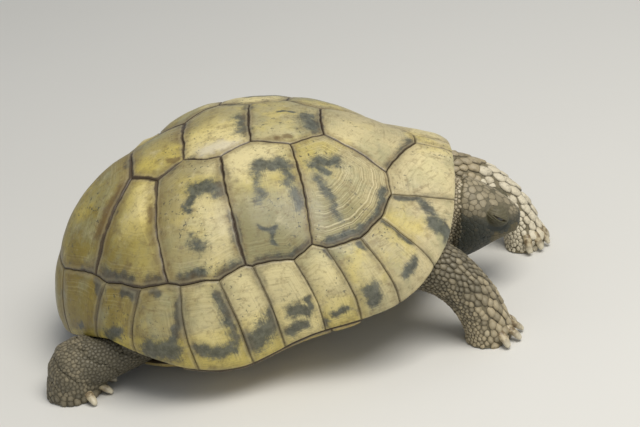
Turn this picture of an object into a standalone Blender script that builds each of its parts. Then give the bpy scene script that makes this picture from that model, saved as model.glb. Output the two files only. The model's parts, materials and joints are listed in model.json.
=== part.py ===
"""Spur-thighed tortoise (Testudo graeca), an adult walking on level ground: the solids of its body.

Metres, +Z up, +X towards the head and +Y to the animal's left. The floor is z = 0, and the origin is on
the floor under the middle of the whole body's box. The shell is modelled in a frame of its own, with z = 0
at the flat of the plastron, and an empty tips that frame nose up, as the animal carries it. Neck, head,
legs and tail are modelled in the floor's frame. Lengths below are in millimetres until MM scales them.
"""
import math

import bmesh
import bpy
import numpy as np
from mathutils import Matrix, Vector

MM = 0.001
GAP = 0.3                    # clear space between neighbouring solids

# ---- shell: driving dimensions ------------------------------------------------------------------
CROWN_HEIGHT = 98.7          # top of the carapace over the flat of the plastron
PLATE_THICKNESS = 4.0
PLATE_SWELL = 0.9            # how far the middle of a carapace scute stands above its seams
SHELL_PITCH = 7.5            # degrees nose up
SHELL_PIVOT_X = 85.0         # the shell tips about this distance behind its middle
SHELL_CLEARANCE = 2.5        # rear of the plastron over the floor
TRUNK_CLEARANCE = 1.0        # trunk inside the plates, whose flat facets cut inside the curve
SEAM_GAP = 0.25              # how far each plate stops short of its seam
SECTIONS = 36                # profiles round the trunk

# Values at 0, 30, 60 ... 180 degrees round the shell, from the nape to the tail, the same on both sides.
RIM_REACH = (109.3, 110.1, 97.7, 83.6, 97.7, 101.6, 110.7)     # from the middle of the shell to its rim
RIM_HEIGHT = (51.8, 29.6, 26.9, 30.4, 29.6, 26.5, 15.9)
RIM_FLARE = (17.7, 17.5, 4.0, 0.0, 3.9, 7.1, 4.8)              # how much of the reach is turned-out lip
DOME_FULLNESS = (1.63, 1.94, 2.05, 2.43, 2.18, 2.13, 2.43)     # 2 is an ellipse, more is boxier
TUCK_UNDER = 0.16            # how far past the rim the bridge marginals run, in units of the radius

# Plastron: reach of its lobes at the same seven angles, and the height of its edge there.
LOBE_REACH = (95.0, 84.0, 70.0, 62.0, 70.0, 84.0, 84.0)
LOBE_EDGE_HEIGHT = 1.5
BRIDGE_ANGLES = (58.0, 122.0)    # the bridge joins plastron and carapace between these
BRIDGE_SOFTNESS = 9.0            # degrees over which a lobe's edge turns out into the bridge
FLAT_RADIUS = 50.0               # the plastron is flat this far from its middle
OPENING_DEPTH = 0.86             # the trunk stops at this part of the radius, behind the rim

# Corners where three scutes meet, as (radius, degrees from the nape); radius 1 is the rim. The first row
# zigzags between vertebral and costal scutes, the second runs between them and the marginals. A letter
# marks what starts at a corner: m a marginal seam, c a costal seam, v the end of a vertebral.
SPINE_CORNERS = ((0.412, 18.7), (0.300, 39.7), (0.184, 59.1), (0.199, 92.5), (0.204, 131.7),
                 (0.314, 141.8), (0.316, 161.3))
GIRDLE_CORNERS = ((0.794, 3.1, "m"), (0.693, 22.6, "v"), (0.728, 29.8, "m"), (0.738, 40.9, "m"),
                  (0.754, 51.9, "m"), (0.761, 63.3, "m"), (0.735, 66.6, "c"), (0.800, 74.2, "m"),
                  (0.794, 88.1, "m"), (0.782, 90.2, "c"), (0.801, 100.0, "m"), (0.766, 112.3, "m"),
                  (0.747, 116.4, "c"), (0.759, 126.8, "m"), (0.765, 144.7, "m"), (0.743, 150.9, "v"),
                  (0.762, 169.6, "m"))
RIM_SEAMS = (2.6, 18.3, 37.9, 50.8, 61.5, 71.7, 85.7, 97.5, 113.3, 131.2, 147.6, 165.0)

# Plastron seams, front to back: where each meets the middle line, and its angle at the plastron's edge.
PLASTRON_NAMES = ("gular", "humeral", "pectoral", "abdominal", "femoral", "anal")
PLASTRON_SEAM_X = (95.0, 68.0, 36.0, 24.0, -36.0, -62.0, -84.0)
PLASTRON_SEAM_ANGLES = (0.0, 15.0, 50.0, 70.0, 124.0, 152.0, 180.0)

# ---- flesh: stations are (x, y, z, half width, half height) along each form -----------------------
NECK = ((62, 2, 44, 21, 20), (82, 1, 43, 17, 20), (93, -0.8, 41.5, 14.6, 21))
HEAD_PIVOT = (101.5, -1.5, 47.5)
HEAD_PITCH = 17.0            # degrees nose down
HEAD_YAW = -7.0              # degrees, a little to the animal's right
# Head stations are (forward, half width, top, bottom, squareness) from the pivot, in the head's own frame.
HEAD = ((0.0, 14.4, 16.4, -29.0, 2.1), (6.0, 15.6, 15.4, -28.5, 2.2), (12.0, 15.4, 13.2, -23.5, 2.3),
        (18.0, 13.6, 10.8, -17.2, 2.4), (24.0, 10.6, 8.0, -12.4, 2.4), (29.0, 7.2, 5.2, -9.2, 2.3),
        (32.5, 4.6, 2.8, -7.2, 2.2))
MOUTH_CORNER = (14.0, -9.0)  # forward and up in the head's frame
MOUTH_FRONT = (36.0, -5.6)
EYE_RADIUS = 4.6
EYE_PLACE = (19.4, 10.6, 3.2)

FORE_RIGHT = ((58, -40, 46, 18, 17), (76, -49, 45, 15, 15), (89, -54, 38.5, 12.5, 13),
              (98, -56, 27, 12.5, 12.5), (104, -57, 14, 12, 12), (105, -57, 4, 12.5, 12),
              (105, -57, -4, 12.5, 12))
FORE_LEFT = ((58, 40, 46, 18, 17), (84, 47, 46, 15.5, 15.5), (104, 48, 42, 13.5, 13.5),
             (117, 46, 34.5, 12.5, 13), (129, 41.5, 25, 11.5, 12), (136, 37, 14, 10.8, 11),
             (136.5, 34.5, 4, 10.8, 10.5), (136.5, 34.5, -4, 10.8, 10.5))
HIND_RIGHT = ((-54, -40, 28, 18, 15), (-74, -46, 22, 16.5, 14), (-90, -50, 16.5, 15.5, 12.5),
              (-103, -52.5, 17, 15.5, 16.5), (-105, -52, 5, 14.8, 15), (-105, -52, -4, 14.8, 15))
HIND_LEFT = ((-48, 42, 32, 18, 17), (-60, 50, 28, 16, 15), (-68, 57, 20, 15, 14.5),
             (-70, 60, 9, 14.5, 14.5), (-70, 60, -4, 14.5, 14.5))
TAIL = ((-78, 0, 11, 7.5, 5), (-92, 1, 8.5, 6.5, 4.6), (-102, 4, 6.5, 5, 3.8), (-110, 9, 5, 3.2, 2.8),
        (-115, 14, 4.2, 1.5, 1.5))
# Claws are (heading from straight ahead, pitch below level), in degrees, round each foot.
CLAWS_FORE_RIGHT = ((-62, 30), (-31, 30), (0, 30), (31, 30), (60, 30))
CLAWS_FORE_LEFT = ((-84, 50), (-54, 50), (-24, 50), (6, 50), (36, 50))
CLAWS_HIND_RIGHT = ((-58, 18), (-24, 18), (8, 18), (40, 18))
CLAWS_HIND_LEFT = ((-42, 18), (-8, 18), (25, 18), (58, 18))
CLAW_LENGTH = 9.5
CLAW_WIDTH = 4.4
CLAW_HEIGHT = 5.0            # root of a level claw over the floor; a steep one starts higher
SPUR_LENGTH = 7.0            # the horny spur on the back of each thigh
SPUR_RIGHT = (-93.0, -42.0, 13.0, 165.0)     # its root, then its heading in degrees from straight ahead
SPUR_LEFT = (-76.0, 50.0, 13.0, 190.0)
SPUR_PITCH = 11.0            # degrees below level

COLOURS = {
    "carapace": (0.47, 0.39, 0.19, 1.0),
    "marginal": (0.50, 0.42, 0.22, 1.0),
    "plastron": (0.42, 0.36, 0.17, 1.0),
    "skin": (0.13, 0.12, 0.085, 1.0),
    "head": (0.11, 0.10, 0.075, 1.0),
    "beak": (0.17, 0.14, 0.09, 1.0),
    "eye": (0.012, 0.010, 0.008, 1.0),
}


# ---- helpers --------------------------------------------------------------------------------------
def material(key, roughness):
    """Return the Principled material of one kind of surface, made once."""
    found = bpy.data.materials.get(key)
    if found:
        return found
    made = bpy.data.materials.new(key)
    made.use_nodes = True
    shader = made.node_tree.nodes["Principled BSDF"]
    shader.inputs["Base Color"].default_value = COLOURS[key]
    shader.inputs["Roughness"].default_value = roughness
    shader.inputs["Metallic"].default_value = 0.0
    return made


def new_object(name, bm, parent, collection, mat=None):
    """Turn a bmesh, in millimetres, into an object in metres under a parent empty."""
    bmesh.ops.scale(bm, vec=(MM, MM, MM), verts=bm.verts)
    bmesh.ops.recalc_face_normals(bm, faces=bm.faces)
    mesh = bpy.data.meshes.new(name)
    bm.to_mesh(mesh)
    bm.free()
    obj = bpy.data.objects.new(name, mesh)
    obj.parent = parent
    collection.objects.link(obj)
    if mat:
        mesh.materials.append(mat)
    return obj


def cosine_ring(values):
    """Return a smooth function of the angle, even about the nose, through values 30 degrees apart."""
    last = len(values) - 1
    table = np.array([[math.cos(k * math.pi * i / last) for k in range(last + 1)] for i in range(last + 1)])
    weights = np.linalg.solve(table, np.array(values, float))
    return lambda angle: sum(w * math.cos(k * angle) for k, w in enumerate(weights))


def smoothstep(t):
    """Ease t from 0 to 1."""
    t = min(max(t, 0.0), 1.0)
    return t * t * (3.0 - 2.0 * t)


def signed_power(value, power):
    """Raise a number to a power and keep its sign."""
    return math.copysign(abs(value) ** power, value)


# ---- the shell's surface --------------------------------------------------------------------------
reach_at = cosine_ring(RIM_REACH)
height_at = cosine_ring(RIM_HEIGHT)
flare_at = cosine_ring(RIM_FLARE)
fullness_at = cosine_ring(DOME_FULLNESS)
lobe_at = cosine_ring(LOBE_REACH)


def carapace_point(radius, angle):
    """Return a point of the carapace; radius 0 is the crown, 1 the rim, and more is tucked under it."""
    turn = radius * math.pi / 2.0
    out = signed_power(math.sin(turn), 2.0 / fullness_at(angle))
    up = signed_power(math.cos(turn), 2.0 / fullness_at(angle))
    flare = flare_at(angle)
    reach = (reach_at(angle) - flare) * out + flare * smoothstep((radius - 0.65) / 0.35)
    rim = height_at(angle)
    return Vector((reach * math.cos(angle), reach * math.sin(angle), rim + (CROWN_HEIGHT - rim) * up))


def surface_normal(radius, angle):
    """Return the carapace's outward normal, from two short steps across the surface."""
    step = 0.004
    radius = max(radius, 0.02)
    along = carapace_point(radius + step, angle) - carapace_point(radius - step, angle)
    across = carapace_point(radius, angle + step) - carapace_point(radius, angle - step)
    return along.cross(across).normalized()


def under_edge(angle):
    """Return the radius at which the marginals end, past the rim along the bridge."""
    return 1.0 + TUCK_UNDER * min(max(1.6 * math.sin(angle) ** 2 - 0.6, 0.0), 1.0)


def mitre(angle):
    """Return the direction that halves the corner between marginals and plastron."""
    return (surface_normal(under_edge(angle), angle) + Vector((0.0, 0.0, -0.9))).normalized()


def carapace_normal(radius, angle):
    """Return the way out of a carapace plate: its normal, turned to the mitre where it tucks under."""
    past_rim = (radius - 1.0) / max(under_edge(angle) - 1.0, 0.01)
    weight = bridge_weight(angle) * smoothstep(past_rim)
    return surface_normal(radius, angle).lerp(mitre(angle), weight).normalized()


def bridge_weight(angle):
    """Return 1 along the bridge, 0 on the lobes, eased between."""
    degrees = math.degrees(math.acos(math.cos(angle)))
    front = smoothstep((degrees - BRIDGE_ANGLES[0]) / BRIDGE_SOFTNESS + 0.5)
    rear = smoothstep((BRIDGE_ANGLES[1] - degrees) / BRIDGE_SOFTNESS + 0.5)
    return front * rear


def plastron_edge(angle):
    """Return how far from the middle the plastron's edge is, and how high."""
    bridge = carapace_point(under_edge(angle) + 0.005, angle)
    weight = bridge_weight(angle)
    reach = lobe_at(angle) * (1.0 - weight) + math.hypot(bridge.x, bridge.y) * weight
    return reach, LOBE_EDGE_HEIGHT * (1.0 - weight) + bridge.z * weight


def plastron_point(part, angle):
    """Return a point of the plastron's underside; part 0 is its middle and 1 its edge."""
    edge_reach, edge_height = plastron_edge(angle)
    reach = part * edge_reach
    rise = max(reach - FLAT_RADIUS, 0.0) / (edge_reach - FLAT_RADIUS)
    return Vector((reach * math.cos(angle), reach * math.sin(angle), edge_height * rise * rise))


def plastron_normal(part, angle):
    """Return the way out of the plastron: down, and along the bridge's edge the mitre with the rim."""
    down = Vector((0.0, 0.0, -1.0))
    return down.lerp(mitre(angle), bridge_weight(angle) * smoothstep((part - 0.7) / 0.3)).normalized()


# ---- scutes ---------------------------------------------------------------------------------------
def carapace_at(place):
    """Return the point and the way out at a place on the carapace's unrolled disc."""
    at = (place.length, math.atan2(place.y, place.x))
    return carapace_point(*at), carapace_normal(*at)


def plastron_at(place):
    """Return the point and the way out above a place on the plastron's plan."""
    angle = math.atan2(place.y, place.x)
    part = min(place.length / plastron_edge(angle)[0], 1.0)
    return plastron_point(part, angle), plastron_normal(part, angle)


def disc(radius, degrees):
    """Return the disc point of a corner given as radius and degrees."""
    angle = math.radians(degrees)
    return Vector((radius * math.cos(angle), radius * math.sin(angle)))


def flipped(points):
    """Mirror disc points to the other side of the animal, and keep their order of turning."""
    return [Vector((p.x, -p.y)) for p in reversed(points)]


def place_above(point):
    """Return the place on the carapace's disc that lies above a point of the plan."""
    reach, angle = math.hypot(point.x, point.y), math.atan2(point.y, point.x)
    low, high = 0.0, 1.0
    for _ in range(24):
        radius = (low + high) / 2.0
        found = carapace_point(radius, angle)
        if math.hypot(found.x, found.y) < reach:
            low = radius
        else:
            high = radius
    return disc(low, math.degrees(angle))


def split_edges(corners, surface, longest):
    """Add points along an outline's edges so that none is longer than wanted on the surface.

    A seam that crosses the back from side to side runs straight in plan; the others are straight on the
    disc.
    """
    outline = []
    for start, end in zip(corners, corners[1:] + corners[:1]):
        first, last = surface(start)[0], surface(end)[0]
        count = max(1, round((last - first).length / longest))
        places = [start.lerp(end, i / count) for i in range(count)]
        if surface is carapace_at and start.y * end.y < 0.0 and start.length < 0.6:
            places[1:] = [place_above(first.lerp(last, i / count)) for i in range(1, count)]
        outline += places
    return outline


def split_quad(bm, quad, lower_first):
    """Add a quad as two triangles, so that neighbours and mirrored plates fold along like diagonals."""
    a, b, c, d = quad
    if lower_first:
        bm.faces.new((a, b, c))
        bm.faces.new((a, c, d))
    else:
        bm.faces.new((a, b, d))
        bm.faces.new((b, c, d))


def make_plate(name, corners, surface, look, rings, swell=0.0, longest=13.0):
    """Make one scute with its bone: a closed plate between the surface and its inner offset."""
    outline = split_edges(corners, surface, longest)
    middle = sum(outline, Vector((0.0, 0.0))) / len(outline)
    centre = surface(middle)[0]
    rim = [place.lerp(middle, SEAM_GAP / (surface(place)[0] - centre).length) for place in outline]
    bm = bmesh.new()
    layers = []
    for depth in (0.0, PLATE_THICKNESS):
        layer = []
        for ring in range(rings + 1):
            part = ring / rings
            lift = swell * (1.0 - part * part) if depth == 0.0 else 0.0
            verts = []
            for place in (rim if ring else [middle]):
                point, out = surface(middle.lerp(place, part))
                verts.append(bm.verts.new(point + out * (lift - depth)))
            layer.append(verts)
        layers.append(layer)
    count = len(rim)
    order = [(round(place.x, 4), abs(round(place.y, 4))) for place in outline]
    for i in range(count):
        j = (i + 1) % count
        lower_first = order[i] < order[j]
        for layer in layers:
            bm.faces.new((layer[0][0], layer[1][i], layer[1][j]))
            for inner, outer in zip(layer[1:], layer[2:]):
                split_quad(bm, (inner[i], outer[i], outer[j], inner[j]), lower_first)
        top, bottom = layers[0][-1], layers[1][-1]
        split_quad(bm, (top[i], bottom[i], bottom[j], top[j]), not lower_first)
    return new_object(name, bm, frames["shell"], parts, material(look, 0.42))


def carapace_plate(name, corners, look, rings):
    """Make one plate of the carapace."""
    make_plate(name, corners, carapace_at, look, rings, PLATE_SWELL)


def both_sides(name, number, corners, look, rings):
    """Make a plate for the left side and its mirror for the right."""
    carapace_plate(f"{name}_left_{number}", corners, look, rings)
    carapace_plate(f"{name}_right_{number}", flipped(corners), look, rings)


def rim_corner(seam):
    """Return a marginal seam's lower end, after a point on the rim where it tucks under."""
    edge = under_edge(math.radians(RIM_SEAMS[seam]))
    lower = disc(edge, RIM_SEAMS[seam])
    return [disc(1.0, RIM_SEAMS[seam]), lower] if edge > 1.02 else [lower]


def under_arc(start, end, steps=2):
    """Return disc points along the marginals' lower edge between two seams, ends left out."""
    first, last = RIM_SEAMS[start], RIM_SEAMS[end]
    inner = [first + (last - first) * i / steps for i in range(1, steps)]
    return [disc(under_edge(math.radians(d)), d) for d in inner]


def make_carapace():
    """Make the 38 scutes of the carapace with the bone under them."""
    spine = [disc(*corner) for corner in SPINE_CORNERS]
    girdle = [disc(r, d) for r, d, _ in GIRDLE_CORNERS]
    kinds = [kind for _, _, kind in GIRDLE_CORNERS]
    marginal_ends = [i for i, kind in enumerate(kinds) if kind == "m"]
    costal_ends = [i for i, kind in enumerate(kinds) if kind in "vc"]

    front, back = costal_ends[0], costal_ends[-1]
    halves = [[girdle[0], girdle[front], spine[0]], spine[0:3], spine[2:5], spine[4:7],
              [spine[6], girdle[back], girdle[-1]]]
    for number, half in enumerate(halves, 1):
        carapace_plate(f"vertebral_{number}", half[::-1] + flipped(half[::-1]), "carapace", 3)

    for number in range(4):
        start, end = costal_ends[number], costal_ends[number + 1]
        inner = spine[2 * number - 1:2 * number + 2] if number else spine[0:2]
        if number == 3:
            inner = spine[5:7]
        both_sides("costal", number + 1, girdle[start:end + 1] + inner[::-1], "carapace", 3)

    for number in range(11):
        start, end = marginal_ends[number], marginal_ends[number + 1]
        lower = rim_corner(number) + under_arc(number, number + 1) + rim_corner(number + 1)[::-1]
        both_sides("marginal", number + 1, girdle[start:end + 1][::-1] + lower, "marginal", 2)

    nape = rim_corner(0) + [girdle[0]]
    carapace_plate("nuchal", nape + flipped(nape), "marginal", 2)
    tail = [girdle[-1]] + rim_corner(11)
    carapace_plate("supracaudal", tail + [disc(1.0, 180.0)] + flipped(tail), "marginal", 2)


def make_plastron():
    """Make the twelve scutes of the plastron, six on each side of the middle seam."""
    for number, name in enumerate(PLASTRON_NAMES):
        front, back = [Vector((x, 0.0)) for x in PLASTRON_SEAM_X[number:number + 2]]
        first, last = PLASTRON_SEAM_ANGLES[number:number + 2]
        steps = max(2, round((last - first) / 8.0))
        border = []
        for i in range(steps + 1):
            degrees = first + (last - first) * i / steps
            border.append(disc(plastron_edge(math.radians(degrees))[0], degrees))
        if number == 0:
            border = border[1:]
        if number == len(PLASTRON_NAMES) - 1:
            border = border[:-1]
        corners = [back, front] + border
        make_plate(f"{name}_left", corners, plastron_at, "plastron", 2, longest=25.0)
        make_plate(f"{name}_right", flipped(corners), plastron_at, "plastron", 2, longest=25.0)


# ---- the trunk and the room that the shell takes ---------------------------------------------------
def revolve_sections(section, count):
    """Make a closed bmesh from the profiles that section(angle) gives, which start and end on the axis."""
    bm = bmesh.new()
    angles = [2.0 * math.pi * i / count for i in range(count)]
    profiles = [section(angle) for angle in angles]
    top = bm.verts.new(profiles[0][0])
    bottom = bm.verts.new(profiles[0][-1])
    rings = [[bm.verts.new(point) for point in profile[1:-1]] for profile in profiles]
    for i in range(count):
        a, b = rings[i], rings[(i + 1) % count]
        bm.faces.new((top, a[0], b[0]))
        for k in range(len(a) - 1):
            split_quad(bm, (a[k], a[k + 1], b[k + 1], b[k]), True)
        bm.faces.new((a[-1], bottom, b[-1]))
    return bm


def opening_radius(angle):
    """Return where the trunk's wall leaves the carapace, behind the rim except along the bridge."""
    weight = bridge_weight(angle)
    return OPENING_DEPTH * (1.0 - weight) + (under_edge(angle) - 0.05) * weight


def wall_foot(angle):
    """Return where the trunk's wall meets the plastron, as a part of the plastron's reach."""
    return 0.84 + 0.10 * bridge_weight(angle)


def trunk_section(angle):
    """Return the trunk's profile at an angle."""
    last, foot = opening_radius(angle), wall_foot(angle)
    inset = PLATE_THICKNESS + TRUNK_CLEARANCE
    top = [carapace_point(last * t, angle) - carapace_normal(last * t, angle) * (inset + 0.6 * t)
           for t in (0.0, 0.35, 0.65, 0.85, 1.0)]
    base = [plastron_point(foot * t, angle) - plastron_normal(foot * t, angle) * (inset + 2.0)
            for t in (1.0, 0.8, 0.0)]
    return top + base


def shell_room_section(angle):
    """Return the profile of trunk, plates and gap together, which legs, neck and tail stay out of."""
    last, foot, edge = opening_radius(angle), wall_foot(angle), under_edge(angle)
    deep = PLATE_THICKNESS + 2.0 * GAP
    outer = [carapace_point(edge * t, angle) + carapace_normal(edge * t, angle) * (PLATE_SWELL + GAP)
             for t in (0.0, 0.25, 0.5, 0.7, 0.82, 0.92, 1.0)]
    outward = Vector((math.cos(angle), math.sin(angle), 0.0)) * 2.0 * GAP
    drop = Vector((0.0, 0.0, 2.0 * GAP))
    rim_inner = carapace_point(edge, angle) - carapace_normal(edge, angle) * deep
    wall_top = carapace_point(last, angle) - carapace_normal(last, angle) * deep
    wall_foot_top = plastron_point(foot, angle) - plastron_normal(foot, angle) * deep
    lip = plastron_point(1.0, angle)
    lip_top = lip - plastron_normal(1.0, angle) * deep
    under = [plastron_point(t, angle) - drop for t in (0.9, 0.0)]
    walls = [rim_inner - drop, wall_top + outward, wall_foot_top + outward]
    return outer[:-1] + [outer[-1] - drop] + walls + [lip_top + outward, lip + outward - drop] + under


def make_trunk():
    """Make the body inside the shell, seen through the front and rear openings."""
    bm = revolve_sections(trunk_section, SECTIONS)
    new_object("trunk", bm, frames["shell"], parts, material("skin", 0.8))


def make_shell_cutter():
    """Make the hidden cutter that keeps the flesh clear of the trunk and the plates."""
    return hidden_tool("shell_room", revolve_sections(shell_room_section, SECTIONS), frames["shell"])


# ---- flesh ----------------------------------------------------------------------------------------
def ellipse_ring(centre, side, up, half_width, half_top, half_bottom, squareness, sides):
    """Return a ring of points on a rounded section; top and bottom may reach differently."""
    ring = []
    for i in range(sides):
        turn = 2.0 * math.pi * (i + 0.5) / sides
        out = signed_power(math.cos(turn), 2.0 / squareness) * half_width
        lift = signed_power(math.sin(turn), 2.0 / squareness)
        lift *= half_top if lift > 0.0 else half_bottom
        ring.append(centre + side * out + up * lift)
    return ring


def cage_scale(sides):
    """Return how much wider than its rounded form a ring of a subdivision cage is."""
    return 3.0 / (2.0 + math.cos(2.0 * math.pi / sides))


def join_rings(bm, rings):
    """Close the sides between rings of equal count and return the caps at both ends."""
    count = len(rings[0])
    for first, second in zip(rings, rings[1:]):
        for i in range(count):
            j = (i + 1) % count
            bm.faces.new((first[i], first[j], second[j], second[i]))
    return bm.faces.new(rings[0]), bm.faces.new(rings[-1])


def loft(rings, crease_ends):
    """Make a closed bmesh through rings of equal count, its end caps creased where they stay flat."""
    bm = bmesh.new()
    crease = bm.edges.layers.float.new("crease_edge")
    caps = join_rings(bm, [[bm.verts.new(point) for point in ring] for ring in rings])
    for cap, creased in zip(caps, crease_ends):
        for edge in cap.edges:
            edge[crease] = 1.0 if creased else 0.0
    return bm


def limb_rings(stations, sides, scale=1.0):
    """Return the rings of a limb through its stations, each square to the limb's run."""
    points = [Vector(station[:3]) for station in stations]
    rings = []
    for i, station in enumerate(stations):
        run = (points[min(i + 1, len(points) - 1)] - points[max(i - 1, 0)]).normalized()
        side = Vector((0.0, 1.0, 0.0))
        side = (side - run * side.dot(run)).normalized()
        up = run.cross(side)
        width, height = station[3] * scale, station[4] * scale
        rings.append(ellipse_ring(points[i], side, up, width, height, height, 2.0, sides))
    return rings


def add_subdivision(obj, levels):
    """Round a coarse cage, alike in the viewport and the render."""
    modifier = obj.modifiers.new("round", "SUBSURF")
    modifier.levels = levels
    modifier.render_levels = levels


def add_boolean(obj, operation, other):
    """Join or cut with another object by the exact solver."""
    modifier = obj.modifiers.new(f"{operation.lower()}_{other.name}", "BOOLEAN")
    modifier.operation = operation
    modifier.solver = "EXACT"
    modifier.object = other


def hidden_tool(name, bm, parent):
    """Make a cutter, or a form that is joined to another, and hide it."""
    tool = new_object(name, bm, parent, cutters)
    tool.hide_render = True
    tool.display_type = "WIRE"
    return tool


def make_floor_cutter():
    """Make the block below the floor that gives each foot its flat."""
    bm = bmesh.new()
    bmesh.ops.create_cube(bm, size=400.0, matrix=Matrix.Translation((0.0, 0.0, -200.0)))
    return hidden_tool("floor_block", bm, frames["body"])


def add_claw(bm, base, heading, pitch, length, width):
    """Add one curved, tapering claw to a bmesh, with its root buried in the toe."""
    ahead = Vector((math.cos(heading), math.sin(heading), 0.0))
    run = ahead * math.cos(pitch) - Vector((0.0, 0.0, math.sin(pitch)))
    side = Vector((-ahead.y, ahead.x, 0.0))
    up = run.cross(side)
    made = []
    for part, scale in ((0.0, 1.0), (0.4, 0.92), (0.75, 0.62), (1.0, 0.18)):
        centre = base + run * (length * part) - up * (0.18 * length * part * part)
        half_width, half_height = width * 0.5 * scale, width * 0.38 * scale
        ring = ellipse_ring(centre, side, up, half_width, half_height, half_height, 2.0, 6)
        made.append([bm.verts.new(point) for point in ring])
    join_rings(bm, made)


def make_leg(name, stations, claws, spur, shell_cutter, floor_cutter):
    """Make a leg with its claws joined to it, cut clear of the shell and flat where it stands."""
    form = loft(limb_rings(stations, 8, cage_scale(8)), (False, True))
    leg = new_object(name, form, frames["body"], parts, material("skin", 0.8))
    add_subdivision(leg, 1)
    horn = bmesh.new()
    foot = Vector((stations[-1][0], stations[-1][1], 0.0))
    for degrees, drop in claws:
        heading, pitch = math.radians(degrees), math.radians(drop)
        out = Vector((math.cos(heading), math.sin(heading), 0.0))
        height = max(CLAW_HEIGHT, CLAW_LENGTH * math.sin(pitch) + CLAW_WIDTH * 0.6)
        base = foot + out * (stations[-2][3] * 0.88) + Vector((0.0, 0.0, height))
        add_claw(horn, base, heading, pitch, CLAW_LENGTH, CLAW_WIDTH)
    if spur:
        add_claw(horn, Vector(spur[:3]), math.radians(spur[3]), math.radians(SPUR_PITCH), SPUR_LENGTH,
                 CLAW_WIDTH)
    add_boolean(leg, "UNION", hidden_tool(f"{name}_claws", horn, frames["body"]))
    add_boolean(leg, "DIFFERENCE", shell_cutter)
    add_boolean(leg, "DIFFERENCE", floor_cutter)


def head_matrix():
    """Return the head's frame: forward along +X, tipped nose down and turned a little."""
    return (Matrix.Translation(HEAD_PIVOT) @ Matrix.Rotation(math.radians(HEAD_YAW), 4, "Z")
            @ Matrix.Rotation(math.radians(HEAD_PITCH), 4, "Y"))


def head_form():
    """Return the whole head with its jaw, in its own frame moved to its place."""
    rings = []
    scale = cage_scale(10)
    for forward, half, top, bottom, squareness in HEAD:
        centre = Vector((forward, 0.0, (top + bottom) * 0.5))
        height = (top - bottom) * 0.5 * scale
        rings.append(ellipse_ring(centre, Vector((0, 1, 0)), Vector((0, 0, 1)), half * scale, height,
                                  height, squareness, 10))
    bm = loft(rings, (True, False))
    bmesh.ops.transform(bm, matrix=head_matrix(), verts=bm.verts)
    return bm


def jaw_block(grow):
    """Return a wedge that holds the lower jaw, grown by a gap where it parts the head from it."""
    run = Vector((MOUTH_FRONT[0] - MOUTH_CORNER[0], MOUTH_FRONT[1] - MOUTH_CORNER[1]))
    tilt = math.atan2(run.y, run.x)
    size = Vector((40.0, 60.0, 30.0))
    block = Matrix.Diagonal((size.x, size.y, size.z, 1.0))
    corner = Matrix.Translation((size.x / 2.0 - grow, 0.0, grow - size.z / 2.0))
    place = Matrix.Translation((MOUTH_CORNER[0], 0.0, MOUTH_CORNER[1])) @ Matrix.Rotation(-tilt, 4, "Y")
    bm = bmesh.new()
    bmesh.ops.create_cube(bm, size=1.0, matrix=head_matrix() @ place @ corner @ block)
    return bm


def ball(place, radius):
    """Return a ball at a place in the head's frame."""
    bm = bmesh.new()
    bmesh.ops.create_uvsphere(bm, u_segments=10, v_segments=6, radius=radius,
                              matrix=head_matrix() @ Matrix.Translation(place))
    return bm


def make_head():
    """Make head, lower jaw and eyes; the jaw is parted from the head by a thin cut."""
    head = new_object("head", head_form(), frames["body"], parts, material("head", 0.7))
    add_subdivision(head, 1)
    add_boolean(head, "DIFFERENCE", hidden_tool("jaw_room", jaw_block(GAP), frames["body"]))
    jaw = new_object("lower_jaw", head_form(), frames["body"], parts, material("beak", 0.5))
    add_subdivision(jaw, 1)
    add_boolean(jaw, "INTERSECT", hidden_tool("jaw_block", jaw_block(0.0), frames["body"]))
    for name, side in (("eye_left", 1.0), ("eye_right", -1.0)):
        place = Vector((EYE_PLACE[0], EYE_PLACE[1] * side, EYE_PLACE[2]))
        new_object(name, ball(place, EYE_RADIUS), frames["body"], parts, material("eye", 0.1))
        add_boolean(head, "DIFFERENCE", hidden_tool(f"{name}_socket", ball(place, EYE_RADIUS + GAP),
                                                    frames["body"]))


def make_neck(shell_cutter):
    """Make the neck from the trunk to the back of the head, where it stops a gap short."""
    scale = cage_scale(10)
    rings = limb_rings(NECK, 10, scale)
    turn = head_matrix().to_3x3()
    _, half, top, bottom, squareness = HEAD[0]
    centre = Vector(HEAD_PIVOT) + turn @ Vector((-GAP, 0.0, (top + bottom) * 0.5))
    height = (top - bottom) * 0.48 * scale
    rings.append(ellipse_ring(centre, turn @ Vector((0, 1, 0)), turn @ Vector((0, 0, 1)),
                              half * 0.96 * scale, height, height, squareness, 10))
    neck = new_object("neck", loft(rings, (False, True)), frames["body"], parts, material("skin", 0.8))
    add_subdivision(neck, 1)
    add_boolean(neck, "DIFFERENCE", shell_cutter)


def make_tail(shell_cutter):
    """Make the short tail, laid to one side under the supracaudal plate."""
    tail = new_object("tail", loft(limb_rings(TAIL, 8), (False, False)), frames["body"], parts,
                      material("skin", 0.8))
    add_boolean(tail, "DIFFERENCE", shell_cutter)


# ---- assembly -------------------------------------------------------------------------------------
def clear_scene():
    """Remove every object that the scene starts with."""
    for obj in list(bpy.data.objects):
        bpy.data.objects.remove(obj, do_unlink=True)


def new_collection(name):
    """Make a collection under the scene's own."""
    made = bpy.data.collections.new(name)
    bpy.context.scene.collection.children.link(made)
    return made


def new_frame(name, parent=None):
    """Make an empty that carries other objects."""
    empty = bpy.data.objects.new(name, None)
    empty.parent = parent
    parts.objects.link(empty)
    return empty


def stand_shell():
    """Tip the shell's frame nose up about the rear of the plastron."""
    pitch = math.radians(SHELL_PITCH)
    frames["shell"].rotation_euler = (0.0, -pitch, 0.0)
    lift = SHELL_PIVOT_X * math.sin(pitch) + SHELL_CLEARANCE
    frames["shell"].location = (0.0, 0.0, lift * MM)


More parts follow.
